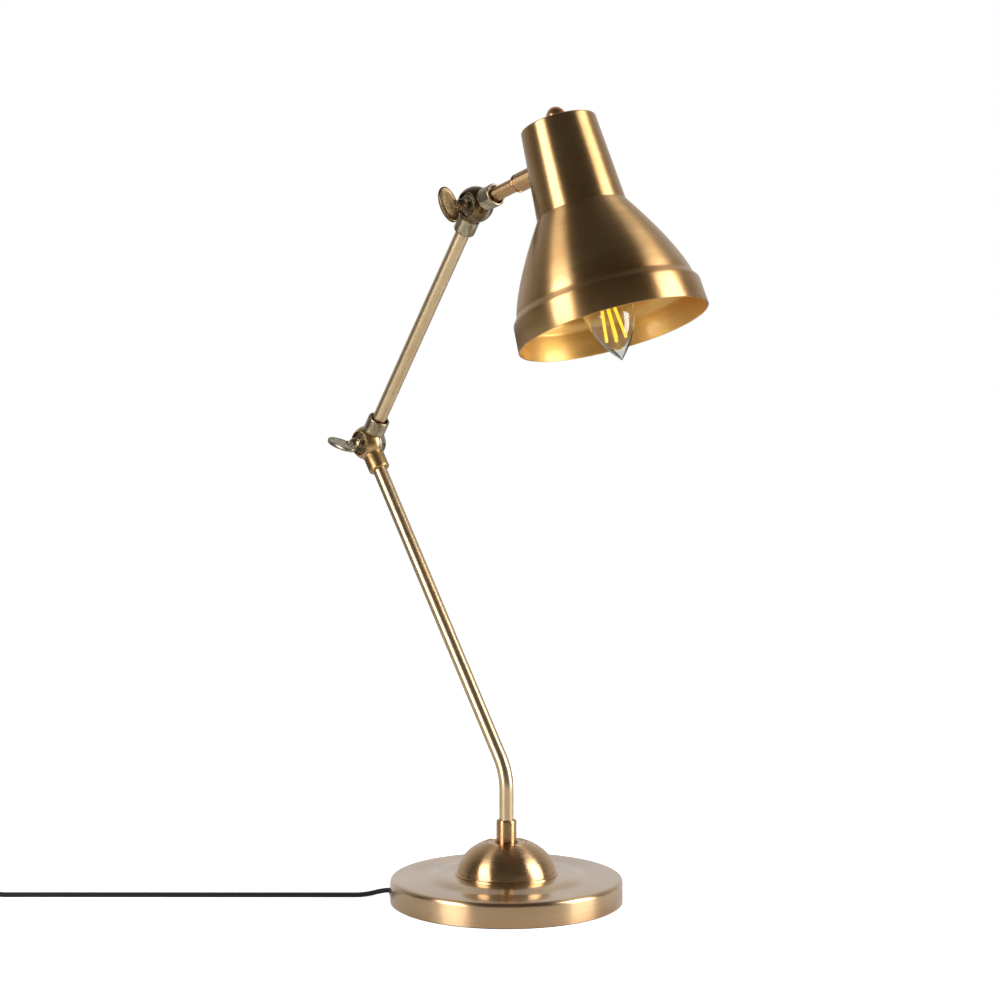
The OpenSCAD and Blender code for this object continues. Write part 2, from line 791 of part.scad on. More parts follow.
// the neck as a solid cone, shrunk by the given inset
module neck_solid(inset) {
    translate([0, 0, neck_z]) cylinder(
        r1 = neck_r - inset, r2 = neck_at(cap_z + 10) - inset,
        h = cap_z + 10 - neck_z, $fn = 120);
}

module pin_nut() {
    color(STEEL) difference() {
        on_pin() translate([0, 0, pin_wall - 1]) difference() {
            hexagon(pin_nut_w, pin_nut_t + 3);
            translate([0, 0, -1]) cylinder(r = pin_d/2 + seat, h = pin_nut_t + 5);
        }
        in_shade() difference() {
            translate([0, 0, neck_z]) cylinder(r = far/4, h = cap_z - neck_z);
            neck_solid(shade_t);
        }
    }
}

// outer line of the shade from the mouth to the cap, moved in by inset
function shade_line(inset) =
    let (
        bell_h = neck_z - bell_z,
        bell_w = bell_r - neck_r,
        top = cap_z - inset
    )
    concat(
        [[mouth_r - inset, 0], [band_r - inset, band_h - 1.2 - inset*0.6]],
        [[band_r - inset - 0.5, band_h - 0.3 - inset*0.6],
         [bell_r - inset + 1.2, band_h + 1 - inset*0.6],
         [bell_r - inset + 0.3, band_h + 1.7 - inset*0.4], [bell_r - inset, bell_z]],
        [for (i = [1:12]) let (u = i/12)
            [bell_r - inset - bell_w*pow(u, bell_curve), bell_z + bell_h*u]],
        [[neck_at(top - cap_edge) - inset, top - cap_edge]],
        [for (i = [1:5]) let (c = neck_at(top) - inset - cap_edge)
            [c + cap_edge*cos(18*i), top - cap_edge + cap_edge*sin(18*i)]],
        [[nipple_d/2 + seat, top]]
    );

module shade() {
    color(BRASS) difference() {
        in_shade() rotate_extrude($fn = 144)
            polygon(concat(shade_line(0), reversed(shade_line(shade_t))));
        on_pin() cylinder(r = pin_d/2 + seat, h = pin_end);
    }
}

module finial_nut() {
    r = finial_d/2;
    rise = finial_h - 3;
    color(COPPER) in_shade() translate([0, 0, cap_z]) difference() {
        rotate_extrude() polygon(concat(
            [[0, 0], [r, 0], [r, 2.4], [r - 0.6, 3]],
            [for (i = [1:10]) [(r - 0.6)*cos(9*i), 3 + rise*sin(9*i)]]
        ));
        translate([0, 0, -1]) cylinder(r = nipple_d/2 + seat, h = 7);
    }
}

// ================= Lampholder and bulb =================

module holder_nipple() {
    color(STEEL) in_shade() translate([0, 0, holder_top - 6])
        ring(nipple_d/2, nipple_bore, cap_z + 5 - holder_top + 6);
}

module holder_nut() {
    color(STEEL) in_shade() translate([0, 0, cap_z - shade_t - holder_nut_t]) difference() {
        hexagon(holder_nut_w, holder_nut_t);
        translate([0, 0, -1]) cylinder(r = nipple_d/2 + seat, h = 6);
    }
}

module holder_body() {
    neck = nipple_d/2 + seat;
    r = holder_r;
    w = holder_wall;
    color(BLACK) in_shade() difference() {
        rotate_extrude() polygon([
            [r - w, holder_z], [r, holder_z], [r, holder_top - 12], [r - 3, holder_top - 6],
            [neck + 3, holder_top], [neck, holder_top], [neck, holder_top - 6 - w],
            [r - w - 2, holder_top - 7 - w], [r - w, holder_top - 12]
        ]);
        // way in for the lead
        translate([-lead_drop, 0, holder_top - 14]) cylinder(r = lead_r + 0.4, h = 20, $fn = 24);
    }
}

module holder_insert() {
    color(WHITE) in_shade() difference() {
        translate([0, 0, insert_z]) cylinder(r = holder_r - holder_wall - seat, h = insert_h);
        translate([0, 0, insert_z - 1]) cylinder(r = 2, h = 4);
        translate([-lead_drop, 0, insert_z + insert_h/2])
            cylinder(r = lead_r + 0.2, h = insert_h, $fn = 24);
    }
}

module holder_shell() {
    color(BRASS) in_shade() translate([0, 0, holder_z + 3])
        ring(e14_r + 1, e14_r + 0.3, insert_z - holder_z - 3);
}

module holder_contact() {
    color(COPPER) in_shade() {
        translate([0, 0, contact_z]) cylinder(r = 3, h = 0.6);
        translate([0, 0, contact_z]) cylinder(r = 1.8, h = insert_z - contact_z + 2);
    }
}

module shade_lead() {
    bend = 8;
    along_pin = [cos(pin_droop), -sin(pin_droop)];
    turn_z = pin_height - (shade_reach - lead_drop - bend)*tan(pin_droop);
    color(BLACK) in_shade() round_sweep(concat(
        [[-shade_reach, pin_height] + lead_stop*along_pin],
        arc([-lead_drop - bend, turn_z - bend], bend, 90, 0, 6),
        [[-lead_drop, insert_z + insert_h/2 + 0.2]]
    ), lead_r, 12);
}

// outer line of the candle from its tip to the cap; z = 0 at the tip
function candle_line(inset) =
    let (
        r = bulb_d/2 - inset,
        body = cap_skirt + bulb_out,
        wide = body*0.52
    )
    concat(
        [for (i = [0:12]) let (u = pow(i/12, 1.4))
            [r*(1 - pow(1 - u, candle_point)), inset + (wide - inset)*u]],
        [for (i = [1:10]) let (u = i/10)
            [r - (r - e14_r + 0.6 + inset*0.2)*(u*u*(3 - 2*u)), wide + (body - wide)*u]]
    );

module bulb_glass() {
    color(GLASS, 0.4) in_shade() translate([0, 0, -bulb_out])
        rotate_extrude($fn = 96) polygon(concat(
            candle_line(0), reversed([for (i = [1:22]) candle_line(0.8)[i]]), [[0, 0.8]]
        ));
}

module bulb_cap() {
    inner = e14_r - 1.1;
    color(NICKEL) in_shade() rotate_extrude() polygon(concat(
        [[inner, cap_skirt + seat], [e14_r, cap_skirt + seat]],
        [for (i = [0:5]) each [
            [e14_r, cap_skirt + 3 + thread_pitch*i],
            [e14_r - 0.5, cap_skirt + 3 + thread_pitch*(i + 0.5)]]],
        [[inner, cap_top], [4, cap_top + 1.1], [3, cap_top + 1.1],
         [3, cap_top + 0.1], [inner - 0.8, cap_top - 1.1], [inner, cap_skirt + 1]]
    ));
}

module bulb_contact() {
    h = contact_h - 0.1;
    color(BRASS) in_shade() translate([0, 0, contact_z - h]) cylinder(r1 = 2.9, r2 = 2.2, h = h);
}

module bulb_stem() {
    foot = cap_skirt + bulb_out;
    top = filament_z + filament_l;
    color(GLASS, 0.5) in_shade() translate([0, 0, -bulb_out]) {
        translate([0, 0, top + 3]) cylinder(r = 1.8, h = foot - top - 4);
        translate([0, 0, top + 3]) sphere(r = 2.4, $fn = 32);
        translate([0, 0, foot - 8]) cylinder(r1 = 1.8, r2 = 5, h = 7);
    }
}

module bulb_filaments() {
    top = filament_z + filament_l;
    color("#f2c230") in_shade() translate([0, 0, -bulb_out]) for (i = [0:3])
        rotate([0, 0, 45 + 90*i]) translate([filament_ring, 0, top]) rotate([0, 180 - filament_lean, 0])
            cylinder(r = filament_r, h = filament_l, $fn = 24);
}

// ================= Cord, switch and plug =================

module cord() { color(BLACK) cord_tube(ROUTE_A, 0, 0); }
module cord_mid() { color(BLACK) cord_tube(ROUTE_B, 0, 90); }
module cord_tail() { color(BLACK) cord_tube(ROUTE_C, 90, 0); }

module cord_coil() {
    color(BLACK) translate([COIL_C[0], COIL_C[1], coil_lift])
        ring(coil_out, coil_in, coil_h);
}

// a strap closed round the coil's turns
module cord_tie() {
    color("#2a2b2d") translate([COIL_C[0], COIL_C[1], coil_lift]) rotate([0, 0, tie_turn])
        rotate_extrude(angle = tie_span) difference() {
            translate([coil_in - seat - tie_t, -seat - tie_t])
                square([coil_out - coil_in + 2*(seat + tie_t), coil_h + 2*(seat + tie_t)]);
            translate([coil_in - seat, -seat])
                square([coil_out - coil_in + 2*seat, coil_h + 2*seat]);
        }
}

// the switch's own frame: cord along X, middle of the switch at the origin
module in_switch() {
    translate([switch_pos[0], switch_pos[1], 0]) rotate([0, 0, cord_turn]) children();
}

// outline of the switch seen from above, with round ends
module switch_outline(inset) {
    r = switch_w/2 - inset;
    for (side = [-1, 1]) intersection() {
        translate([side*(switch_l/2 - switch_w/2), 0]) circle(r = r);
        translate([-switch_l/2 + inset, -switch_w/2]) square([switch_l - 2*inset, switch_w]);
    }
    square([switch_l - switch_w, 2*r], center = true);
    square([switch_l - 2*inset, switch_flat - 2*inset], center = true);
}

module switch_shell(z, h) {
    difference() {
        translate([0, 0, z]) linear_extrude(h) switch_outline(0);
        // hollow, open towards the split
        translate([0, 0, z < switch_split ? z + switch_wall : z - 1])
            linear_extrude(h - switch_wall + 1) switch_outline(switch_wall);
        translate([-switch_l, 0, cord_z]) flat_bar(cord_w + 2*seat, cord_t + 2*seat, 2*switch_l);
    }
}

module switch_screw_posts(r, z, h) {
    for (side = [-1, 1]) translate([side*post_at[0], post_at[1], z]) cylinder(r = r, h = h, $fn = 32);
}

module switch_lower() {
    color(BLACK) in_switch() difference() {
        union() {
            switch_shell(0, switch_split);
            switch_screw_posts(post_r, 1, switch_split - 1);
        }
        switch_screw_posts(1.5, -1, far/10);
        switch_screw_posts(2.6, -1, 3);
    }
}

module switch_upper() {
    slot_l = rocker_l + 2*rocker_play;
    slot_w = rocker_w + 2*rocker_play;
    color(BLACK) in_switch() difference() {
        union() {
            switch_shell(switch_split, switch_h - switch_split);
            switch_screw_posts(post_r, switch_split, switch_h - switch_split - 1);
            for (side = [-1, 1])
                translate([-4, side*(slot_w + cheek_t)/2 - cheek_t/2, rocker_z - 3])
                    cube([8, cheek_t, switch_h - rocker_z + 2]);
        }
        translate([-slot_l/2, -slot_w/2, switch_split - 1]) cube([slot_l, slot_w, far/10]);
        translate([0, slot_w, rocker_z]) rotate([90, 0, 0])
            cylinder(r = rocker_pin_r + run_gap, h = 2*slot_w, $fn = 32);
        switch_screw_posts(1.5, switch_split - 1, 5.5);
    }
}

module switch_rocker() {
    half = rocker_l/2;
    top = switch_h - rocker_z;
    color("#232426") in_switch() translate([0, 0, rocker_z]) rotate([0, rocker_tilt, 0])
        rotate([90, 0, 0]) {
            translate([0, 0, -rocker_w/2]) linear_extrude(rocker_w) polygon([
                [-half + 1.4, 0], [-4, -2.4], [4, -2.4], [half - 1.4, 0],
                [half - 0.6, top + 1.2], [0, top + 0.2], [-half + 0.6, top + 1.2]
            ]);
            pin_l = rocker_w + 2*rocker_play + 2*cheek_t - 0.4;
            translate([0, 0, -pin_l/2]) cylinder(r = rocker_pin_r, h = pin_l, $fn = 32);
        }
}

// the conductors that run through the switch, one of them with the contacts
module switch_contacts() {
    run = switch_l - 2*switch_wall;
    color(COPPER) in_switch() {
        for (side = [-1, 1])
            translate([-run/2, side*1.2 - 0.6, cord_z - 0.6]) cube([run, 1.2, 1.2]);
        translate([-8, 0.6, cord_z + 0.4]) cube([3, 1.2, 3.6]);
        translate([5, 0.6, cord_z + 0.4]) cube([3, 1.2, 3.6]);
    }
}

module switch_screws() {
    color(STEEL) in_switch() {
        switch_screw_posts(2.5, 0.4, 1.6);
        switch_screw_posts(1.4, 1, 11.5);
    }
}

// the plug's own frame: cord end at the origin, pins along +Y
module plug_body() {
    chamfer = 4;
    w = plug_w/2;
    t = plug_t/2;
    l = relief_l + plug_l;
    color(BLACK) translate(plug_pos) union() {
        rotate([-90, 0, 0]) cylinder(r1 = cord_w/2 + 0.8, r2 = 6, h = relief_l + 1);
        translate([0, 0, -t]) linear_extrude(plug_t) polygon([
            [-7, relief_l], [7, relief_l], [w, relief_l + 12], [w, l - 2], [w - 2, l],
            [-w + 2, l], [-w, l - 2], [-w, relief_l + 12]
        ]);
    }
}

module plug_pins() {
    l = relief_l + plug_l;
    color(BRASS) translate(plug_pos) for (side = [-1, 1])
        translate([side*pin_gap/2, l, 0]) rotate([-90, 0, 0]) {
            cylinder(r = plug_pin_r, h = plug_pin_l - 1, $fn = 48);
            translate([0, 0, plug_pin_l - 1])
                cylinder(r1 = plug_pin_r, r2 = plug_pin_r - 1, h = 1, $fn = 48);
        }
}

base_cover();
base_weight();
base_felt();
base_dome();
pivot_sleeve();
sleeve_nut();
cord_gland();
cord_clamp();
clamp_screws();
base_lead();
swivel_nipple();
friction_washer();
swivel_nut();
stem_collar();
lower_tube();
lower_lead();
elbow_front();
elbow_spring();
elbow_washer();
elbow_rear();
elbow_wing_screw();
upper_tube();
upper_lead();
head_front();
head_spring();
head_washer();
head_rear();
head_wing_screw();
shade_pin();
shade_collar();
pin_nut();
shade();
finial_nut();
holder_nipple();
holder_nut();
holder_body();
holder_insert();
holder_shell();
holder_contact();
shade_lead();
bulb_glass();
bulb_cap();
bulb_contact();
bulb_stem();
bulb_filaments();
cord();
cord_mid();
cord_coil();
cord_tail();
cord_tie();
switch_lower();
switch_upper();
switch_rocker();
switch_contacts();
switch_screws();
plug_body();
plug_pins();
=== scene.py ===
import json
import math

import bmesh
import bpy
from mathutils import Matrix, Quaternion, Vector


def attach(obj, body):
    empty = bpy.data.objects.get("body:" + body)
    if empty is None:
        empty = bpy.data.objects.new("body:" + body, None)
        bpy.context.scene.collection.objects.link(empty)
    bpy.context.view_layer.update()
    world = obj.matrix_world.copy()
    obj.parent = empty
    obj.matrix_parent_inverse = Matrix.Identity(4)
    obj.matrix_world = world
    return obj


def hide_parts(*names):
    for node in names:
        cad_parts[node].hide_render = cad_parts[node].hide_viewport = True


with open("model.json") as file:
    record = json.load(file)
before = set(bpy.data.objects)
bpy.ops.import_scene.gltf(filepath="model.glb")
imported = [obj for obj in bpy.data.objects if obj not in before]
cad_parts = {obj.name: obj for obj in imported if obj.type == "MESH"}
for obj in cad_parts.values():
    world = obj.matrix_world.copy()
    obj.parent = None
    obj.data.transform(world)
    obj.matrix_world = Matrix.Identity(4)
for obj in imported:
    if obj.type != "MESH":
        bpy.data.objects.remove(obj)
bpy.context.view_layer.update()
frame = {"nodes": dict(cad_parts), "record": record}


# ---------------------------------------------------------------- sizes, mm
# The same sizes as the part's own source.
COVER_R, BASE_H, SHEET_T, COVER_RISE = 80.0, 17.5, 1.2, 2.2
RISE_OUT, RISE_IN, COVER_EDGE, RIM_Z = 58.0, 44.0, 3.0, 0.8
DOME_R, DOME_H, PLATEAU_R, PLATEAU_LIP = 34.0, 22.4, 15.0, 1.2
DOME_Z = BASE_H + COVER_RISE
PLATEAU_Z = DOME_Z + DOME_H
TUBE_R = 5.0
BEND_Z, BEND_R, LOWER_LEAN, LOWER_LEN = 90.0, 40.0, 33.0, 261.0
UPPER_LEAN, UPPER_LEN = 33.5, 202.5
STEM_COLLAR_R, STEM_COLLAR_TOP = 7.0, PLATEAU_Z + 15.4
BALL_R, SEAM, BALL_ROOM = 12.5, 0.3, 0.4
FRONT_COLLAR_R, FRONT_COLLAR_END, COVE_R = 7.5, 22.5, 3.0
REAR_COLLAR_R, REAR_COLLAR_END, SLEEVE_R, SLEEVE_DEPTH = 7.8, 21.5, 6.4, 5.0
RECESS_R, RECESS_FLOOR, SPRING_T, PLATE_T, WASHER_R = 8.3, 5.5, 1.2, 1.6, 6.7
SHOULDER, STUD_R, BOSS_R, PADDLE_AT = 8.3, 3.5, 4.2, 25.0
PADDLE_L, PADDLE_W, PADDLE_T = 26.0, 15.5, 2.6
ELBOW_PADDLE_TURN, HEAD_PADDLE_TURN = -17.0, -66.0
SHADE_LEAN, SHADE_REACH, PIN_HEIGHT, PIN_DROOP = 21.2, 93.0, 123.3, 2.4
MOUTH_R, SHADE_T, BAND_H, BAND_R = 64.0, 1.0, 20.0, 62.9
BELL_R, BELL_Z, BELL_CURVE = 59.5, 23.0, 1.3
NECK_Z, NECK_R, CAP_Z, CAP_R, CAP_EDGE = 82.5, 30.2, 143.8, 25.5, 1.4
PIN_R, PIN_COLLAR_R, PIN_COLLAR_L = 4.8, 6.5, 23.0
FINIAL_R, FINIAL_H = 7.75, 12.0
BULB_R, BULB_OUT, BULB_CAP_Z, CONTACT_Z = 17.5, 21.0, 54.5, 77.0
CANDLE_POINT = 2.1
FILAMENT_Z, FILAMENT_L, FILAMENT_R, FILAMENT_LEAN = 14.0, 30.0, 1.0, 6.0
CORD_W, CORD_T = 5.0, 3.1
# bores, and how far a piece reaches inside its neighbour
BORE_ROOM, NIPPLE_HOLE_R, LEAD_HOLE_R, STEM_SEAT = 0.05, 5.1, 3.2, 4.4
SLEEVE_BODY_R, SLEEVE_WAIST_R, SLEEVE_FLANGE_R, SLEEVE_STEP, SLEEVE_FOOT = 8.0, 10.0, 13.5, 15.2, 10.1
DOME_HOLE_R, COVER_HOLE_R, WASHER_HOLE_R, BOSS_RISE = 10.1, 9.0, 2.8, 5.0
PIN_IN_NECK, PIN_WALL_ROOM, COLLAR_CHANGE_Z = 8.0, 0.6, 0.0115


def metres(*mm):
    """A point given in millimetres."""
    return Vector([v * 0.001 for v in mm])


def turn_y(degrees):
    return Matrix.Rotation(math.radians(degrees), 4, "Y")


def leaning(degrees):
    """Unit vector in the arms' plane, leaning towards +X."""
    a = math.radians(degrees)
    return Vector((math.sin(a), 0, math.cos(a)))


ELBOW = metres(0, 0, BEND_Z) + leaning(-LOWER_LEAN) * LOWER_LEN * 0.001
HEAD = ELBOW + leaning(UPPER_LEAN) * UPPER_LEN * 0.001
SHADE_SIDE = leaning(90 - SHADE_LEAN)
SHADE_UP = leaning(-SHADE_LEAN)
MOUTH = HEAD + SHADE_SIDE * SHADE_REACH * 0.001 - SHADE_UP * PIN_HEIGHT * 0.001

# places of the pieces: each has its own axis along +Z
ON_TABLE = Matrix.Identity(4)
TO_FRONT = Matrix.Rotation(math.radians(90), 4, "X")  # +Z turned to -Y
TO_BACK = TO_FRONT.inverted()
IN_SHADE = Matrix.Translation(MOUTH) @ turn_y(-SHADE_LEAN)
LOWER_AT_ELBOW = Matrix.Translation(ELBOW) @ turn_y(-LOWER_LEAN)
UPPER_AT_ELBOW = Matrix.Translation(ELBOW) @ turn_y(UPPER_LEAN)
UPPER_AT_HEAD = Matrix.Translation(HEAD) @ turn_y(UPPER_LEAN)
ON_PIN = Matrix.Translation(HEAD) @ turn_y(90 - SHADE_LEAN + PIN_DROOP)


# ---------------------------------------------------------------- camera
CAMERA_AZIMUTH = 46.17  # from -Y towards +X
CAMERA_AWAY, CAMERA_UP = 2.0, 0.4754
around = math.radians(CAMERA_AZIMUTH)
camera = bpy.data.objects.new("camera", bpy.data.cameras.new("camera"))
camera.location = (CAMERA_AWAY * math.sin(around), -CAMERA_AWAY * math.cos(around), CAMERA_UP)
camera.rotation_euler = (math.radians(90 - 5.638), 0, math.radians(46.297))
camera.data.lens, camera.data.sensor_width = 106.47, 36.0
bpy.context.scene.collection.objects.link(camera)
bpy.context.scene.camera = camera


# ---------------------------------------------------------------- cord route, mm
CORD_TO_SWITCH = [
    (-65.2, -48.9, 4.8), (-67.6, -50.7, 4.8), (-71.4, -53.9, 3.9), (-75.8, -58.6, 2.4),
    (-80.4, -63.9, 1.6), (-86, -70, 1.55), (-103.3, -88, 1.55), (-120.6, -106, 1.55),
    (-137.9, -124.1, 1.55), (-155.2, -142.1, 1.55), (-172.5, -160.1, 1.55),
    (-189.9, -178.2, 1.55), (-207.2, -196.2, 1.55), (-224.5, -214.2, 1.55),
    (-239.7, -230.1, 1.55), (-252.2, -243.1, 1.6), (-256.3, -247.4, 2.4),
    (-259.6, -250.8, 4.2), (-263.2, -254.5, 4.8),
]
CORD_TO_COIL = [
    (-303.6, -296.7, 4.8), (-309, -302.3, 4.3), (-315.2, -308.7, 3.6),
    (-321.4, -315.2, 3.5), (-327, -321, 3.5),
]
CORD_TO_PLUG = [
    (-386.6, -297, 8.6), (-386.6, -289, 8.5), (-386.6, -280, 7.9),
    (-386.6, -272, 7), (-386.6, -266, 6.85), (-386.6, -263, 6.85),
]
COIL_MIDDLE, COIL_OUT, COIL_IN = (-352.0, -297.0), 34.6, 22.4
COIL_START, COIL_TURNS, LAYER_LOW, LAYER_HIGH = 316.17, 7.378, 3.5, 8.7
SWITCH_AT, SWITCH_TURN = (-283.4, -275.6), 226.17
PLUG_AT = (-386.6, -263.0, 6.85)


def eased_step(t):
    t = min(max(t, 0.0), 1.0)
    return t * t * (3 - 2 * t)


def through(points, gap):
    """Points about gap apart on a smooth curve through the given ones."""
    out = []
    for i in range(len(points) - 1):
        a, b = Vector(points[max(i - 1, 0)]), Vector(points[i])
        c, d = Vector(points[i + 1]), Vector(points[min(i + 2, len(points) - 1)])
        steps = max(1, round((c - b).length / gap))
        for k in range(steps):
            u = k / steps
            bend, twist = 2 * a - 5 * b + 4 * c - d, 3 * b - a - 3 * c + d
            out.append(0.5 * (2 * b + (c - a) * u + bend * u * u + twist * u**3))
    return out + [Vector(points[-1])]


def coil_turns(per_turn=48):
    """The wound turns: inwards on the lower layer, outwards on the upper one."""
    count = round(COIL_TURNS * per_turn)
    out = []
    for k in range(count + 1):
        t = k / count
        a = math.radians(COIL_START - 360 * COIL_TURNS * t)
        r = COIL_IN + (COIL_OUT - COIL_IN) * abs(2 * t - 1)
        z = LAYER_LOW + (LAYER_HIGH - LAYER_LOW) * eased_step((t - 0.5) * COIL_TURNS * 2.4 + 0.5)
        out.append(Vector((COIL_MIDDLE[0] + r * math.cos(a), COIL_MIDDLE[1] + r * math.sin(a), z)))
    return out


def cord_line():
    """The whole cord, as (point, roll from flat to on edge in degrees)."""
    to_switch = [(p, 0.0) for p in through(CORD_TO_SWITCH, 4)]
    in_switch = [(p, 0.0) for p in through([CORD_TO_SWITCH[-1], CORD_TO_COIL[0]], 6)][1:-1]
    rolling = through(CORD_TO_COIL, 2.5)
    to_coil = [(p, 90 * i / (len(rolling) - 1)) for i, p in enumerate(rolling)]
    wound = [(p, 90.0) for p in coil_turns()][1:-1]
    back = through(CORD_TO_PLUG, 2.5)
    to_plug = [(p, 90 - 90 * i / (len(back) - 1)) for i, p in enumerate(back)]
    return to_switch + in_switch + to_coil + wound + to_plug


# ---------------------------------------------------------------- making pieces
def new_piece(name, mesh):
    obj = bpy.data.objects.new(name, mesh)
    bpy.context.scene.collection.objects.link(obj)
    return obj


def finished(obj, body, slot, finish, *nodes):
    """Puts a made piece on its body, with its finish and the CAD nodes it stands for."""
    obj.data.materials.clear()
    obj.data.materials.append(finish)
    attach(obj, body)
    if nodes:
        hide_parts(*nodes)
    return obj


def shaded(mesh, degrees=35):
    """Smooth faces, with creases where they meet at more than this."""
    mesh.polygons.foreach_set("use_smooth", [True] * len(mesh.polygons))
    mesh.set_sharp_from_angle(angle=math.radians(degrees))
    mesh.update()


def softened(outline, radius, steps=4, closed=True):
    """An outline with each corner rounded off by up to this radius."""
    out = []
    count = len(outline)
    for i, corner in enumerate(outline):
        p = Vector(corner)
        if not closed and i in (0, count - 1):
            out.append(tuple(p))
            continue
        a, b = Vector(outline[i - 1]) - p, Vector(outline[(i + 1) % count]) - p
        if a.length < 1e-6 or b.length < 1e-6 or a.angle(b) > math.radians(165):
            out.append(tuple(p))
            continue
        start = p + a.normalized() * min(radius, a.length * 0.45)
        end = p + b.normalized() * min(radius, b.length * 0.45)
        for k in range(steps + 1):
            u = k / steps
            out.append(tuple(start * (1 - u) ** 2 + p * 2 * u * (1 - u) + end * u * u))
    return out


def turned(name, outline, place, sides=96, crease=35):
    """A piece turned on a lathe: a closed outline of (radius, height) in mm, spun about its axis.

    "grain" on each point is (cosine, sine) round the axis and the distance in mm
    along the outline, which the brushed finishes follow."""
    mesh = bpy.data.meshes.new(name)
    bm = bmesh.new()
    grain = bm.verts.layers.float_vector.new("grain")
    uv = bm.loops.layers.uv.new("grain_uv")
    rings, along = [], [0.0]
    for (r0, z0), (r1, z1) in zip(outline, outline[1:]):
        along.append(along[-1] + math.hypot(r1 - r0, z1 - z0))
    for (r, z), s in zip(outline, along):
        ring = []
        for k in range(sides if r > 1e-6 else 1):
            a = 2 * math.pi * k / sides
            v = bm.verts.new(metres(r * math.cos(a), r * math.sin(a), z))
            v[grain] = (math.cos(a), math.sin(a), s)
            ring.append(v)
        rings.append(ring)
    count = len(rings)
    for i in range(count):
        low, high = rings[i], rings[(i + 1) % count]
        if len(low) == 1 and len(high) == 1:
            continue
        for k in range(sides):
            n = (k + 1) % sides
            corners = [(low, k, 0), (low, n, 0), (high, n, 1), (high, k, 1)]
            if len(low) == 1:
                corners = [(low, 0, 0), (high, n, 1), (high, k, 1)]
            elif len(high) == 1:
                corners = [(low, k, 0), (low, n, 0), (high, 0, 1)]
            face = bm.faces.new([ring[j] for ring, j, _ in corners])
            for loop, (ring, j, side) in zip(face.loops, corners):
                step = k + 1 if len(ring) > 1 and j == n else k
                loop[uv].uv = (step / sides, (along[i] + side) * 0.01)
    bmesh.ops.recalc_face_normals(bm, faces=bm.faces)
    bm.transform(place)
    bm.to_mesh(mesh)
    bm.free()
    shaded(mesh, crease)
    return new_piece(name, mesh)


def ring_outline(inner, outer, low, high):
    """Section of a plain ring, or of a rod where inner is 0, as (radius, height)."""
    return [(inner, low), (outer, low), (outer, high), (inner, high)]


def arc_points(centre, r, start, stop, steps=8):
    """Points of an arc, angles in degrees."""
    out = []
    for k in range(steps + 1):
        a = math.radians(start + (stop - start) * k / steps)
        out.append((centre[0] + r * math.cos(a), centre[1] + r * math.sin(a)))
    return out


def made_plain(obj):
    """Applies a piece's modifiers, and leaves one plain mesh."""
    bpy.context.view_layer.update()
    evaluated = obj.evaluated_get(bpy.context.evaluated_depsgraph_get())
    mesh = bpy.data.meshes.new_from_object(evaluated)
    obj.modifiers.clear()
    obj.data = mesh
    return obj


def scrapped(*objects):
    for obj in objects:
        bpy.data.objects.remove(obj)


def cut_from(obj, *cutters):
    """Takes the cutters out of a solid."""
    for cutter in cutters:
        cut = obj.modifiers.new("cut", "BOOLEAN")
        cut.operation, cut.object, cut.solver = "DIFFERENCE", cutter, "EXACT"
    made_plain(obj)
    scrapped(*cutters)
    return obj


def cast(obj, grain_mm=0.32, soften=3):
    """Gives a solid the soft edges of a polished casting."""
    skin = obj.modifiers.new("skin", "REMESH")
    skin.mode, skin.voxel_size, skin.use_smooth_shade = "VOXEL", grain_mm * 0.001, True
    ease = obj.modifiers.new("ease", "SMOOTH")
    ease.factor, ease.iterations = 0.5, soften
    made_plain(obj)
    obj.data.polygons.foreach_set("use_smooth", [True] * len(obj.data.polygons))
    return obj


def joined(name, *objects):
    """Several closed solids as one object."""
    bm = bmesh.new()
    for obj in objects:
        bm.from_mesh(obj.data)
    mesh = bpy.data.meshes.new(name)
    bm.to_mesh(mesh)
    bm.free()
    scrapped(*objects)
    return new_piece(name, mesh)


def both_ways(levels):
    """Levels of a slab below its middle, and the same above it."""
    return levels + [(-z, inset) for z, inset in levels[::-1]]


def slab(name, outline, levels, place, crease=35):
    """A moulded body: an outline in mm, drawn at each (height, inset) level and closed at both ends.

    outline is a function of the inset that gives as many points each time."""
    bm = bmesh.new()
    rings = [[bm.verts.new(metres(x, y, z)) for x, y in outline(inset)] for z, inset in levels]
    for low, high in zip(rings, rings[1:]):
        for k in range(len(low)):
            n = (k + 1) % len(low)
            bm.faces.new((low[k], low[n], high[n], high[k]))
    bm.faces.new(rings[0][::-1])
    bm.faces.new(rings[-1])
    bmesh.ops.recalc_face_normals(bm, faces=bm.faces)
    bm.transform(place)
    mesh = bpy.data.meshes.new(name)
    bm.to_mesh(mesh)
    bm.free()
    shaded(mesh, crease)
    return new_piece(name, mesh)


# ---------------------------------------------------------------- node trees
def add(tree, kind, inputs=None, **settings):
    """Adds a node with its settings; inputs are values, or outputs to link."""
    node = tree.nodes.new(kind)
    for key, value in settings.items():
        setattr(node, key, value)
    for key, value in (inputs or {}).items():
        if isinstance(value, bpy.types.NodeSocket):
            tree.links.new(value, node.inputs[key])
        else:
            node.inputs[key].default_value = value
    return node


def rgb(code):
    """An sRGB hex colour as linear RGBA."""
    channels = [int(code[i : i + 2], 16) / 255 for i in (1, 3, 5)]
    return tuple(c / 12.92 if c <= 0.04045 else ((c + 0.055) / 1.055) ** 2.4 for c in channels) + (1.0,)


def new_finish(name):
    finish = bpy.data.materials.new(name)
    finish.use_nodes = True
    finish.node_tree.nodes.clear()
    return finish, finish.node_tree


def surface(tree, **sockets):
    """The Principled surface of a finish, joined to the output."""
    names = {key.replace("_", " "): value for key, value in sockets.items()}
    shader = add(tree, "ShaderNodeBsdfPrincipled", names)
    add(tree, "ShaderNodeOutputMaterial", {"Surface": shader.outputs[0]})
    return shader


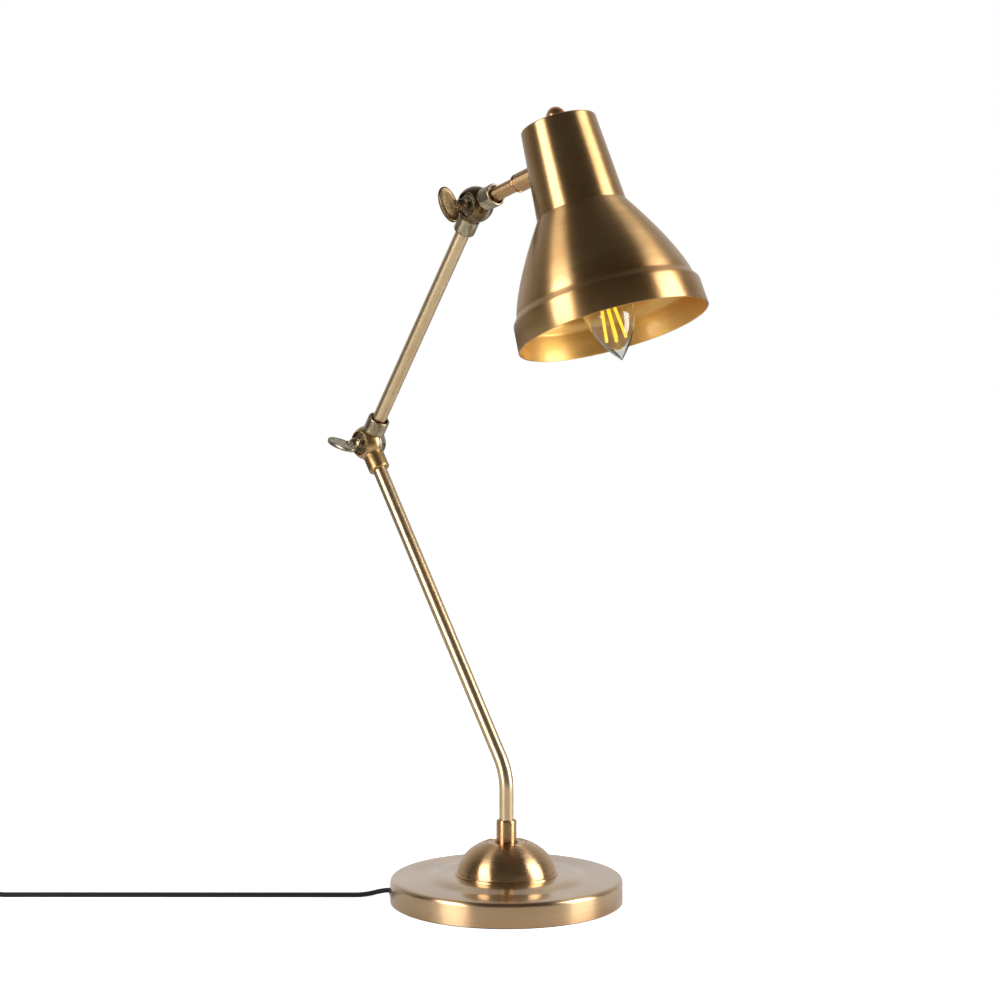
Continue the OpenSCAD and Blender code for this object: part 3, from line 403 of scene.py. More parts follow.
def ramp(tree, factor, low, high, from_min=0.3, from_max=0.7):
    """A value that follows a pattern between low and high."""
    return add(
        tree, "ShaderNodeMapRange",
        {"Value": factor, "From Min": from_min, "From Max": from_max, "To Min": low, "To Max": high},
    ).outputs["Result"]


def mixed(tree, factor, a, b):
    return add(tree, "ShaderNodeMix", {"Factor": factor, 6: a, 7: b}, data_type="RGBA").outputs[2]


def brushed_brass(name, light, dark, line_mm=0.7, streak=1.4, gloss=0.36, spread=0.06, anisotropic=0.85, coat=0.3):
    """Antique brass spun and brushed on a lathe under clear lacquer: fine lines run round
    the axis, so highlights stretch across them, and the tone drifts from golden to brown."""
    finish, tree = new_finish(name)
    grain = add(tree, "ShaderNodeAttribute", attribute_name="grain").outputs["Vector"]
    lines_at = add(tree, "ShaderNodeMapping", {"Vector": grain, "Scale": (streak, streak, 1 / line_mm)})
    lines = add(
        tree, "ShaderNodeTexNoise",
        {"Vector": lines_at.outputs[0], "Scale": 1.0, "Detail": 3.0, "Roughness": 0.65},
    )
    drift_at = add(tree, "ShaderNodeMapping", {"Vector": grain, "Scale": (1.1, 1.1, 0.03)})
    drift = add(tree, "ShaderNodeTexNoise", {"Vector": drift_at.outputs[0], "Scale": 1.0, "Detail": 2.0})
    tone = mixed(tree, ramp(tree, drift.outputs[0], 0.0, 1.0), rgb(light), rgb(dark))
    shine = ramp(tree, lines.outputs[0], 0.9, 1.06)
    colour = add(tree, "ShaderNodeVectorMath", {0: tone, "Scale": shine}, operation="SCALE").outputs[0]
    relief = add(tree, "ShaderNodeBump", {"Height": lines.outputs[0], "Strength": 0.16, "Distance": 0.00004})
    along = add(tree, "ShaderNodeTangent", direction_type="UV_MAP", uv_map="grain_uv")
    surface(
        tree, Base_Color=colour, Metallic=1.0, Roughness=ramp(tree, lines.outputs[0], gloss, gloss + spread),
        Anisotropic=anisotropic, Anisotropic_Rotation=0.25, Tangent=along.outputs[0],
        Normal=relief.outputs[0], Coat_Weight=coat, Coat_Roughness=0.1,
    )
    return finish


def worn_metal(name, light, dark, patch_mm=5.0, gloss=0.28, spread=0.16, stretch=(1, 1, 1), relief_mm=0.04, coat=0.2):
    """A cast and tumbled metal with a darkened patina: tone and gloss drift in patches,
    with fine pits that soften the highlights."""
    finish, tree = new_finish(name)
    spot = add(tree, "ShaderNodeTexCoord").outputs["Object"]
    spot = add(tree, "ShaderNodeMapping", {"Vector": spot, "Scale": stretch}).outputs[0]
    patches = add(
        tree, "ShaderNodeTexNoise",
        {"Vector": spot, "Scale": 1000 / patch_mm, "Detail": 4.0, "Roughness": 0.6},
    )
    pits = add(tree, "ShaderNodeTexNoise", {"Vector": spot, "Scale": 1000 / 1.1, "Detail": 2.0})
    colour = mixed(tree, ramp(tree, patches.outputs[0], 0.0, 1.0), rgb(light), rgb(dark))
    relief = add(tree, "ShaderNodeBump", {"Height": pits.outputs[0], "Strength": 0.5, "Distance": relief_mm * 0.001})
    surface(
        tree, Base_Color=colour, Metallic=1.0, Roughness=ramp(tree, patches.outputs[0], gloss, gloss + spread),
        Normal=relief.outputs[0], Coat_Weight=coat, Coat_Roughness=0.1,
    )
    return finish


def drawn_tube(name, light, dark, gloss=0.28):
    """Drawn and buffed tube: smooth, with a slow drift of tone along its length."""
    finish, tree = new_finish(name)
    grain = add(tree, "ShaderNodeAttribute", attribute_name="grain").outputs["Vector"]
    drift = add(tree, "ShaderNodeTexNoise", {"Vector": grain, "Scale": 0.05, "Detail": 3.0})
    tone = mixed(tree, ramp(tree, drift.outputs[0], 0.0, 1.0), rgb(light), rgb(dark))
    surface(
        tree, Base_Color=tone, Metallic=1.0, Roughness=ramp(tree, drift.outputs[0], gloss, gloss + 0.05),
        Coat_Weight=0.2, Coat_Roughness=0.2,
    )
    return finish


def moulded(name, light, dark, gloss=0.35, grain_mm=0.8, relief_mm=0.03, specular=0.5):
    """A moulded plastic or rubber, with a fine spark-eroded grain."""
    finish, tree = new_finish(name)
    spot = add(tree, "ShaderNodeTexCoord").outputs["Object"]
    grain = add(tree, "ShaderNodeTexNoise", {"Vector": spot, "Scale": 1000 / grain_mm, "Detail": 2.0})
    cloud = add(tree, "ShaderNodeTexNoise", {"Vector": spot, "Scale": 1000 / 14, "Detail": 2.0})
    colour = mixed(tree, cloud.outputs[0], rgb(light), rgb(dark))
    relief = add(tree, "ShaderNodeBump", {"Height": grain.outputs[0], "Strength": 0.4, "Distance": relief_mm * 0.001})
    surface(
        tree, Base_Color=colour, Roughness=ramp(tree, grain.outputs[0], gloss, gloss + 0.12),
        Normal=relief.outputs[0], Specular_IOR_Level=specular,
    )
    return finish


def clear_glass():
    """Blown soda glass of a candle bulb: clear, thin and very smooth."""
    finish, tree = new_finish("soda glass, blown clear")
    surface(tree, Base_Color=rgb("#fbfcfb"), Roughness=0.0, IOR=1.5, Transmission_Weight=1.0)
    return finish


def lit_filament():
    """The phosphor coat of a lit filament: golden yellow, in faint beads."""
    finish, tree = new_finish("phosphor, lit")
    spot = add(tree, "ShaderNodeTexCoord").outputs["Object"]
    beads = add(tree, "ShaderNodeTexNoise", {"Vector": spot, "Scale": 700.0, "Detail": 1.0})
    colour = mixed(tree, beads.outputs[0], rgb("#ffbe14"), rgb("#ffd94a"))
    surface(tree, Base_Color=rgb("#40300a"), Roughness=0.6, Emission_Color=colour, Emission_Strength=1.5)
    return finish


def felt_pad():
    """Pressed wool felt: matt, with short fibres lying every way."""
    finish, tree = new_finish("wool felt, pressed")
    spot = add(tree, "ShaderNodeTexCoord").outputs["Object"]
    fibres = add(
        tree, "ShaderNodeTexNoise",
        {"Vector": spot, "Scale": 1000 / 0.9, "Detail": 5.0, "Roughness": 0.8, "Distortion": 1.5},
    )
    colour = mixed(tree, fibres.outputs[0], rgb("#141416"), rgb("#34343a"))
    relief = add(tree, "ShaderNodeBump", {"Height": fibres.outputs[0], "Strength": 0.9, "Distance": 0.0004})
    surface(tree, Base_Color=colour, Roughness=0.95, Normal=relief.outputs[0], Sheen_Weight=0.4, Sheen_Roughness=0.5)
    return finish


BRASS = brushed_brass("antique brass, spun and brushed", "#d0aa76", "#bb8e59", gloss=0.32, anisotropic=0.9)
# The base's brass is a lighter copy of the shade's: painted light, for the brighter light the base takes from the
# table in front of it.
BASE_BRASS_PAINTED_LIGHTER = brushed_brass(
    "antique brass, turned satin", "#dcbb90", "#caa374", gloss=0.28, spread=0.05, line_mm=0.5, coat=1.0,
)
DOME_BRASS = brushed_brass(
    "antique brass, spun and buffed", "#d9b487", "#c59a69", gloss=0.26, line_mm=0.5, anisotropic=0.93, coat=0.2,
)
# The inside of the shade is the same sheet as the outside; this lighter, yellower copy of the brass is painted light
# from the bulb.
PAINTED_BULB_LIGHT_INSIDE = brushed_brass(
    "yellow brass, brushed inside the shade", "#f2c878", "#e3b05c",
    gloss=0.42, spread=0.12, line_mm=1.1, anisotropic=0.5,
)
TUBE_BRASS = drawn_tube("antique brass tube, drawn and buffed", "#e4caa2", "#d4b78b")
GOLDEN_BRONZE = worn_metal(
    "golden bronze, cast and lacquered", "#d0ae78", "#97754a", patch_mm=8.0, gloss=0.26, relief_mm=0.02,
)
DARK_BRONZE = worn_metal(
    "dark bronze, cast and waxed", "#937a55", "#57472e", patch_mm=7.0, gloss=0.24, relief_mm=0.02,
)
AGED_NICKEL = worn_metal(
    "aged nickel, cast and rubbed", "#c8bb9e", "#7d6e52",
    patch_mm=4.0, gloss=0.22, stretch=(1, 1, 0.3), relief_mm=0.02,
)
COPPER_BRASS = worn_metal("copper brass, polished", "#e8b07c", "#d69a68", gloss=0.24, spread=0.06, relief_mm=0.01)
ZINC = worn_metal("zinc-plated steel, passivated", "#c6cacd", "#a7abaf", gloss=0.3)
GREY_IRON = worn_metal("grey iron, as cast and painted", "#5b5c5f", "#3a3b3d", gloss=0.55, relief_mm=0.12)
CONTACT_BRASS = worn_metal("contact brass, stamped", "#d8b36c", "#c09a55", gloss=0.25)
PLUG_NICKEL = worn_metal("plug brass, nickel-plated", "#d5d2c8", "#bcb8ac", gloss=0.15, spread=0.05, relief_mm=0.01)
FELT = felt_pad()
RUBBER = moulded("black rubber, moulded", "#131314", "#1c1c1d", gloss=0.5)
CORD_BLACK = moulded("black flexible PVC, extruded", "#0d0d0e", "#161617", gloss=0.38, grain_mm=2.0, relief_mm=0.015)
BLACK_PLASTIC = moulded("black polycarbonate, moulded", "#101011", "#19191a", gloss=0.32)
NYLON = moulded("natural nylon, moulded", "#e6e1d2", "#dcd6c4", gloss=0.4)
STEATITE = moulded("steatite ceramic, pressed and fired", "#ece8df", "#dfdace", gloss=0.45)
GLASS = clear_glass()
FILAMENT = lit_filament()

SLOT_FINISH = {
    "antique_brass": BRASS, "golden_bronze": GOLDEN_BRONZE, "dark_bronze": DARK_BRONZE,
    "aged_nickel": AGED_NICKEL, "zinc_steel": ZINC, "grey_iron": GREY_IRON, "felt": FELT,
    "black_rubber": RUBBER, "black_cord": CORD_BLACK, "nylon": NYLON,
    "copper_brass": COPPER_BRASS, "black_plastic": BLACK_PLASTIC, "steatite": STEATITE,
    "contact_brass": CONTACT_BRASS, "plug_nickel": PLUG_NICKEL, "bulb_glass": GLASS,
    "filament": FILAMENT,
}


# ---------------------------------------------------------------- geometry nodes
def maker(name, inputs):
    """A geometry tree with named inputs; returns it with its input node."""
    tree = bpy.data.node_groups.new(name, "GeometryNodeTree")
    tree.interface.new_socket("Geometry", in_out="INPUT", socket_type="NodeSocketGeometry")
    for label, kind in inputs:
        tree.interface.new_socket(label, in_out="INPUT", socket_type="NodeSocket" + kind)
    tree.interface.new_socket("Geometry", in_out="OUTPUT", socket_type="NodeSocketGeometry")
    return tree, tree.nodes.new("NodeGroupInput")


def painted_out(tree, given, last):
    """Ends a geometry tree: real geometry with its finish."""
    real = add(tree, "GeometryNodeRealizeInstances", {"Geometry": last.outputs[0]})
    painted = add(tree, "GeometryNodeSetMaterial", {"Geometry": real.outputs[0], "Material": given.outputs["Finish"]})
    add(tree, "NodeGroupOutput", {"Geometry": painted.outputs[0]})
    return tree


def grown(obj, tree, **values):
    """Runs a geometry tree on a piece with these input values, and keeps the plain mesh."""
    modifier = obj.modifiers.new(tree.name, "NODES")
    modifier.node_group = tree
    for item in tree.interface.items_tree:
        if item.in_out == "INPUT" and item.name.replace(" ", "_") in values:
            modifier[item.identifier] = values[item.name.replace(" ", "_")]
    return made_plain(obj)


def tube_tree():
    """Sweeps a round tube along a line of edges, and marks the way along it."""
    tree, given = maker("tube along a line", [("Radius", "Float"), ("Sides", "Int"), ("Finish", "Material")])
    line = add(tree, "GeometryNodeMeshToCurve", {"Mesh": given.outputs["Geometry"]})
    along = add(tree, "GeometryNodeSplineParameter")
    line = add(tree, "GeometryNodeCaptureAttribute", {"Geometry": line.outputs[0]})
    line.capture_items.new("FLOAT", "along")
    tree.links.new(along.outputs["Length"], line.inputs[1])
    circle = add(
        tree, "GeometryNodeCurvePrimitiveCircle",
        {"Resolution": given.outputs["Sides"], "Radius": given.outputs["Radius"]},
    )
    wall = add(
        tree, "GeometryNodeCurveToMesh",
        {"Curve": line.outputs[0], "Profile Curve": circle.outputs[0], "Fill Caps": True},
    )
    smooth = add(tree, "GeometryNodeSetShadeSmooth", {"Geometry": wall.outputs[0]})
    millimetres = add(tree, "ShaderNodeMath", {0: line.outputs[1], 1: 1000.0}, operation="MULTIPLY")
    mark = add(tree, "ShaderNodeCombineXYZ", {"Z": millimetres.outputs[0]})
    stored = add(
        tree, "GeometryNodeStoreNamedAttribute",
        {"Geometry": smooth.outputs[0], "Name": "grain", "Value": mark.outputs[0]}, data_type="FLOAT_VECTOR",
    )
    return painted_out(tree, given, stored)


def ring_tree():
    """Stands copies of the piece round its own Z axis, turned with the ring."""
    tree, given = maker("copies round an axis", [("Count", "Int"), ("Start", "Float"), ("Finish", "Material")])
    points = add(tree, "GeometryNodePoints", {"Count": given.outputs["Count"]})
    index = add(tree, "GeometryNodeInputIndex")
    share = add(tree, "ShaderNodeMath", {0: index.outputs[0], 1: given.outputs["Count"]}, operation="DIVIDE")
    angle = add(
        tree, "ShaderNodeMath",
        {0: share.outputs[0], 1: 2 * math.pi, 2: given.outputs["Start"]}, operation="MULTIPLY_ADD",
    )
    turned_by = add(tree, "ShaderNodeCombineXYZ", {"Z": angle.outputs[0]})
    copies = add(
        tree, "GeometryNodeInstanceOnPoints",
        {"Points": points.outputs[0], "Instance": given.outputs["Geometry"], "Rotation": turned_by.outputs[0]},
    )
    return painted_out(tree, given, copies)


def rib_tree():
    """Lines copies of the piece up along +Z, a pitch apart, each a little larger."""
    inputs = [("Count", "Int"), ("Pitch", "Float"), ("Growth", "Float"), ("Finish", "Material")]
    tree, given = maker("ribs in a row", inputs)
    step = add(tree, "ShaderNodeCombineXYZ", {"Z": given.outputs["Pitch"]})
    row = add(tree, "GeometryNodeMeshLine", {"Count": given.outputs["Count"], "Offset": step.outputs[0]})
    index = add(tree, "GeometryNodeInputIndex")
    larger = add(
        tree, "ShaderNodeMath",
        {0: index.outputs[0], 1: given.outputs["Growth"], 2: 1.0}, operation="MULTIPLY_ADD",
    )
    scale = add(tree, "ShaderNodeCombineXYZ", {"X": larger.outputs[0], "Y": larger.outputs[0], "Z": 1.0})
    copies = add(
        tree, "GeometryNodeInstanceOnPoints",
        {"Points": row.outputs[0], "Instance": given.outputs["Geometry"], "Scale": scale.outputs[0]},
    )
    return painted_out(tree, given, copies)


TUBE, ROUND, RIBS = tube_tree(), ring_tree(), rib_tree()


def tube_along(name, line, radius, finish, sides=48):
    """A round tube along a line of points in metres."""
    mesh = bpy.data.meshes.new(name)
    mesh.from_pydata(line, [(i, i + 1) for i in range(len(line) - 1)], [])
    obj = new_piece(name, mesh)
    grown(obj, TUBE, Radius=radius * 0.001, Sides=sides, Finish=finish)
    shaded(obj.data, 50)
    return obj


# ---------------------------------------------------------------- cord
def cord_mesh(line, sides=16):
    """The flat two-core cord, oval in section, with a shallow groove down each face."""
    bm = bmesh.new()
    rings = []
    for i, (point, roll) in enumerate(line):
        ahead = (line[min(i + 1, len(line) - 1)][0] - line[max(i - 1, 0)][0]).normalized()
        level = ahead.cross(Vector((0, 0, 1))).normalized()
        up = level.cross(ahead)
        turn = math.radians(roll)
        wide = level * math.cos(turn) + up * math.sin(turn)
        thick = up * math.cos(turn) - level * math.sin(turn)
        ring = []
        for k in range(sides):
            a = 2 * math.pi * k / sides
            u, v = math.cos(a), math.sin(a)
            x = (CORD_W - CORD_T) / 2 * (1 if u > 0.3 else -1 if u < -0.3 else u / 0.3) + CORD_T / 2 * u
            y = CORD_T / 2 * v * (0.97 if abs(u) < 0.2 else 1)
            ring.append(bm.verts.new(metres(*(point + wide * x + thick * y))))
        rings.append(ring)
    for low, high in zip(rings, rings[1:]):
        for k in range(sides):
            n = (k + 1) % sides
            bm.faces.new((low[k], low[n], high[n], high[k]))
    bm.faces.new(rings[0][::-1])
    bm.faces.new(rings[-1])
    bmesh.ops.recalc_face_normals(bm, faces=bm.faces)
    mesh = bpy.data.meshes.new("flat_cord")
    bm.to_mesh(mesh)
    bm.free()
    shaded(mesh, 60)
    return mesh


route = cord_line()
flat_cord = finished(
    new_piece("flat_cord", cord_mesh(route)), "base", "black_cord", CORD_BLACK,
    "cord", "cord_mid", "cord_coil", "cord_tail",
)


# ---------------------------------------------------------------- base
def cover_outline(inset):
    r, h = COVER_R - inset, BASE_H - inset
    edge = max(COVER_EDGE - inset, 0.4)
    steps = 12
    rise = [
        (RISE_OUT - (RISE_OUT - RISE_IN) * i / steps, h + COVER_RISE * (1 - math.cos(math.pi * i / steps)) / 2)
        for i in range(steps + 1)
    ]
    corner = arc_points((r - edge, h - edge), edge, 0, 90, 8)
    return [(r, RIM_Z), *corner, (RISE_OUT + 8, h), *rise, (COVER_HOLE_R, h + COVER_RISE)]


finished(
    turned("base_shell", cover_outline(SHEET_T)[::-1] + cover_outline(0), ON_TABLE, sides=192, crease=30),
    "base", "antique_brass", BASE_BRASS_PAINTED_LIGHTER, "base_cover",
)

full_h = DOME_H / math.sqrt(1 - (PLATEAU_R / DOME_R) ** 2)
stop = math.acos(PLATEAU_R / DOME_R)
dome_side = [(DOME_R * math.cos(stop * i / 24), DOME_Z + full_h * math.sin(stop * i / 24)) for i in range(25)]
dome_inner = [((r - SHEET_T), z - SHEET_T * 0.6) for r, z in dome_side[1:]]
dish_z = PLATEAU_Z - PLATEAU_LIP
lip_r = PLATEAU_R - PLATEAU_LIP
dome_outline = (
    [(DOME_HOLE_R, dish_z - SHEET_T)] + dome_inner[::-1] + [(DOME_R - SHEET_T, DOME_Z)]
    + [(DOME_R + 1.3, DOME_Z), *arc_points((DOME_R + 0.5, DOME_Z + 0.6), 0.8, 0, 80, 4), (DOME_R - 0.1, DOME_Z + 1.5)]
    + dome_side[2:-1]
    + arc_points((PLATEAU_R - 0.5, PLATEAU_Z - 0.45), 0.5, 25, 90, 4)
    + [(lip_r + 0.2, PLATEAU_Z), (lip_r, PLATEAU_Z - 0.3), (lip_r - 0.2, dish_z), (DOME_HOLE_R, dish_z)]
)
finished(turned("base_dome_cap", dome_outline, ON_TABLE, sides=160), "base", "antique_brass", DOME_BRASS, "base_dome")

cup_r, cup_z = STEM_COLLAR_R + 0.9, PLATEAU_Z - 4.6
sleeve_outline = softened(
    [
        (NIPPLE_HOLE_R, SLEEVE_FOOT), (SLEEVE_BODY_R, SLEEVE_FOOT), (SLEEVE_BODY_R, dish_z - SLEEVE_STEP),
        (SLEEVE_WAIST_R, dish_z - SLEEVE_STEP), (SLEEVE_WAIST_R, dish_z), (SLEEVE_FLANGE_R, dish_z),
        (SLEEVE_FLANGE_R, dish_z + 1), (cup_r, dish_z + 1), (cup_r, cup_z), (NIPPLE_HOLE_R, cup_z),
    ], 0.35,
)
sleeve = turned("swivel_cup", sleeve_outline, ON_TABLE, sides=96)
finished(sleeve, "base", "antique_brass", DOME_BRASS, "pivot_sleeve")


# ---------------------------------------------------------------- arms
collar_outline = softened(ring_outline(TUBE_R + BORE_ROOM, STEM_COLLAR_R, PLATEAU_Z - STEM_SEAT, STEM_COLLAR_TOP), 1.1)
collar = turned("stem_ferrule", collar_outline, ON_TABLE, sides=72)
finished(collar, "lower_arm", "antique_brass", DOME_BRASS, "stem_collar")

bend_run = BEND_R * math.tan(math.radians(LOWER_LEAN / 2))
lower_line = [metres(0, 0, STEM_COLLAR_TOP - 7.8)]
for x, z in arc_points((-BEND_R, BEND_Z - bend_run), BEND_R, 0, LOWER_LEAN, 24):
    lower_line.append(metres(x, 0, z))
lower_line.append(metres(0, 0, BEND_Z) + leaning(-LOWER_LEAN) * (LOWER_LEN - BALL_R) * 0.001)
lower_tube = tube_along("lower_arm_tube", lower_line, TUBE_R, TUBE_BRASS)
finished(lower_tube, "lower_arm", "antique_brass", TUBE_BRASS, "lower_tube")

upper_line = [ELBOW + leaning(UPPER_LEAN) * s * 0.001 for s in (BALL_R, UPPER_LEN - BALL_R)]
upper_tube = tube_along("upper_arm_tube", upper_line, TUBE_R, TUBE_BRASS)
finished(upper_tube, "upper_arm", "antique_brass", TUBE_BRASS, "upper_tube")


# ---------------------------------------------------------------- knuckles
def other_half(turn):
    """The room that the other half of a ball takes, on the side that this turn faces."""
    room = BALL_R + BALL_ROOM
    edge = math.degrees(math.asin(SEAM / 2 / room))
    outline = [(0, -SEAM / 2)] + arc_points((0, 0), room, -edge, 90, 32)[:-1] + [(0, room)]
    return turned("other_half", outline, turn, sides=96)


def front_half(name, place):
    """Half ball with a coved collar, and a recess for the washers in its face."""
    run = BALL_R + COVE_R
    cove_z = math.sqrt(run**2 - (FRONT_COLLAR_R + COVE_R) ** 2)
    meet = math.degrees(math.atan2(cove_z, FRONT_COLLAR_R + COVE_R))
    outline = (
        [(0, -FRONT_COLLAR_END)]
        + arc_points((FRONT_COLLAR_R - 1.6, -FRONT_COLLAR_END + 1.6), 1.6, -90, 0, 6)
        + [(FRONT_COLLAR_R, -FRONT_COLLAR_END + 6)]
        + arc_points((FRONT_COLLAR_R + COVE_R, -cove_z), COVE_R, 180, 180 - meet, 8)
        + arc_points((0, 0), BALL_R, -meet + 2, 90, 40)[:-1]
        + [(0, BALL_R)]
    )
    half = turned(name, outline, ON_TABLE, sides=96)
    recess = turned("recess", ring_outline(0, RECESS_R, RECESS_FLOOR, 20), TO_FRONT, sides=96)
    cut_from(half, other_half(TO_BACK), recess)
    half.data.transform(place)
    return cast(half)


def rear_half(name, place):
    """Half ball with a plain collar, bored out round the tube."""
    meet = math.degrees(math.acos(REAR_COLLAR_R / BALL_R))
    bore_z = REAR_COLLAR_END - SLEEVE_DEPTH
    outline = (
        [(0, -BALL_R)]
        + arc_points((0, 0), BALL_R, -90, meet, 44)[1:]
        + arc_points((REAR_COLLAR_R - 0.7, REAR_COLLAR_END - 0.7), 0.7, 0, 90, 4)
        + [(SLEEVE_R, REAR_COLLAR_END), (SLEEVE_R, bore_z), (0, bore_z)]
    )
    half = turned(name, outline, ON_TABLE, sides=96)
    cut_from(half, other_half(TO_FRONT))
    half.data.transform(place)
    return cast(half, soften=2)


def washer(name, thickness, at, place):
    """A ring in the recess of a front half, this far in front of the ball's middle."""
    outline = softened(ring_outline(WASHER_HOLE_R, WASHER_R, at, at + thickness), 0.25)
    return turned(name, outline, place @ TO_FRONT, sides=64)


def wing_screw(name, centre, turn):
    """Stud, round boss and oval paddle, cast in one piece."""
    boss_z, neck_top = SHOULDER + BOSS_RISE, PADDLE_AT - 5
    stud_outline = softened(ring_outline(0, STUD_R, SHOULDER, boss_z), 0.2, closed=False)
    stud = turned("stud", stud_outline, ON_TABLE, sides=48)
    ball = [(0, -BOSS_R), *arc_points((0, 0), BOSS_R, -90, 90, 24)[1:-1], (0, BOSS_R)]
    boss = turned("boss", ball, Matrix.Translation(metres(0, 0, boss_z)), sides=48)
    neck_outline = [(0, boss_z), (2.7, boss_z), (2.3, boss_z + 4), (2.6, neck_top), (0, neck_top)]
    neck = turned("neck", neck_outline, ON_TABLE, sides=48)
    half_rim = [(0, -1.0), (0.72, -0.95), (0.9, -1.15), (0.97, -1.1), (1.0, -0.55)]
    rim = half_rim + [(r, -z) for r, z in half_rim[::-1]]
    oval = Matrix.Diagonal((PADDLE_L / 2, PADDLE_W / 2, PADDLE_T / 2 / 1.15, 1))
    paddle = turned("paddle", rim, Matrix.Translation(metres(0, 0, PADDLE_AT)) @ TO_FRONT @ oval, sides=96)
    screw = joined(name, stud, boss, neck, paddle)
    screw.data.transform(Matrix.Translation(centre) @ TO_FRONT @ Matrix.Rotation(math.radians(turn), 4, "Z"))
    return cast(screw, grain_mm=0.3, soften=4)


plate_at = RECESS_FLOOR + SPRING_T
KNUCKLE_PIECES = [
    (front_half("elbow_front_half", LOWER_AT_ELBOW), "lower_arm", "golden_bronze", "elbow_front"),
    (rear_half("elbow_rear_half", UPPER_AT_ELBOW), "upper_arm", "aged_nickel", "elbow_rear"),
    (front_half("head_front_half", UPPER_AT_HEAD), "upper_arm", "dark_bronze", "head_front"),
    (rear_half("head_rear_half", ON_PIN), "head", "aged_nickel", "head_rear"),
    (washer("elbow_spring_ring", SPRING_T, RECESS_FLOOR, LOWER_AT_ELBOW), "lower_arm", "zinc_steel", "elbow_spring"),
    (washer("elbow_plate_ring", PLATE_T, plate_at, LOWER_AT_ELBOW), "lower_arm", "aged_nickel", "elbow_washer"),
    (washer("head_spring_ring", SPRING_T, RECESS_FLOOR, UPPER_AT_HEAD), "upper_arm", "zinc_steel", "head_spring"),
    (washer("head_plate_ring", PLATE_T, plate_at, UPPER_AT_HEAD), "upper_arm", "aged_nickel", "head_washer"),
    (wing_screw("elbow_wing", ELBOW, ELBOW_PADDLE_TURN), "elbow_screw", "aged_nickel", "elbow_wing_screw"),
    (wing_screw("head_wing", HEAD, HEAD_PADDLE_TURN), "head_screw", "dark_bronze", "head_wing_screw"),
]
for piece, body, slot, node in KNUCKLE_PIECES:
    finished(piece, body, slot, SLOT_FINISH[slot], node)
head_half = bpy.data.objects["head_front_half"]
head_half.data.materials.append(AGED_NICKEL)
for face in head_half.data.polygons:
    if (UPPER_AT_HEAD.inverted() @ face.center).z < -COLLAR_CHANGE_Z:
        face.material_index = 1


# ---------------------------------------------------------------- shade
def neck_at(z):
    return NECK_R - (NECK_R - CAP_R) * (z - NECK_Z) / (CAP_Z - NECK_Z)


def shade_outline(inset):
    """The shade's wall from its mouth to the hole in its cap."""
    bell_w, top = BELL_R - NECK_R, CAP_Z - inset
    drop, steps = inset * 0.6, 32
    step = [
        (BAND_R - inset, BAND_H - 1.6 - drop), (BELL_R - inset + 1.6, BAND_H + 0.7 - drop), (BELL_R - inset, BELL_Z),
    ]
    bell = [
        (BELL_R - inset - bell_w * (i / steps) ** BELL_CURVE, BELL_Z + (NECK_Z - BELL_Z) * i / steps)
        for i in range(1, steps + 1)
    ]
    cap_x = neck_at(top) - inset - CAP_EDGE
    cap = arc_points((cap_x, top - CAP_EDGE), CAP_EDGE, 0, 90, 9)
    band = softened([(MOUTH_R - inset, 0.4)] + step + bell[:2], 1.3, closed=False)[:-1]
    return [(MOUTH_R - inset, 0)] + band + bell[1:] + cap + [(NIPPLE_HOLE_R, top)]


mouth_edge = arc_points((MOUTH_R - SHADE_T / 2, SHADE_T / 2), SHADE_T / 2, 180, 360, 6)
shade_wall = shade_outline(SHADE_T)[1:][::-1] + mouth_edge[1:-1] + shade_outline(0)[1:]
shade = turned("shade_shell", shade_wall, IN_SHADE, sides=192, crease=28)
finished(shade, "head", "antique_brass", BRASS, "shade")
# Faces inside the shade and under its cap get the lighter brass copy: painted light from the bulb.
shade.data.materials.append(PAINTED_BULB_LIGHT_INSIDE)
to_shade = IN_SHADE.inverted()
for face in shade.data.polygons:
    here, facing = to_shade @ face.center, to_shade.to_3x3() @ face.normal
    inward = facing.dot(Vector((here.x, here.y, 0))) < -0.0001
    under_cap = here.z > (CAP_Z - 4.8) * 0.001 and facing.z < 0
    if inward or under_cap:
        face.material_index = 1

droop = math.radians(PIN_DROOP)
butt = (SHADE_REACH - neck_at(PIN_HEIGHT - (SHADE_REACH - CAP_R) * math.tan(droop))) / math.cos(droop)
pin_end = butt + PIN_IN_NECK
finished(
    turned("pin", softened(ring_outline(LEAD_HOLE_R, PIN_R, BALL_R, pin_end), 0.3), ON_PIN, sides=64),
    "head", "antique_brass", DOME_BRASS, "shade_pin",
)
start = butt - PIN_COLLAR_L
collar_end, groove_r = butt + PIN_WALL_ROOM, PIN_COLLAR_R - 0.6
pin_collar_outline = (
    [(PIN_R + BORE_ROOM, start), (PIN_COLLAR_R - 1, start)]
    + arc_points((PIN_COLLAR_R - 0.9, start + 0.9), 0.9, -90, 90, 8)
    + [(groove_r, start + 2.1), (groove_r, start + 2.7)]
    + [(PIN_COLLAR_R, start + 3.3), (PIN_COLLAR_R, collar_end), (PIN_R + BORE_ROOM, collar_end)]
)
ferrule = turned("pin_ferrule", pin_collar_outline, ON_PIN, sides=72)
finished(ferrule, "head", "antique_brass", DOME_BRASS, "shade_collar")

nut_r = FINIAL_R - 0.6
nut_foot = [(0, CAP_Z), (FINIAL_R, CAP_Z), (FINIAL_R, CAP_Z + 2.4), (nut_r, CAP_Z + 3.2)]
finial_outline = softened(nut_foot, 0.4, closed=False)[:-1]
for i in range(1, 18):
    a = math.radians(5 * i)
    finial_outline.append((nut_r * math.cos(a), CAP_Z + 3 + (FINIAL_H - 3) * math.sin(a)))
finial = turned("finial", finial_outline + [(0, CAP_Z + FINIAL_H)], IN_SHADE, sides=72)
finished(finial, "head", "copper_brass", COPPER_BRASS, "finial_nut")


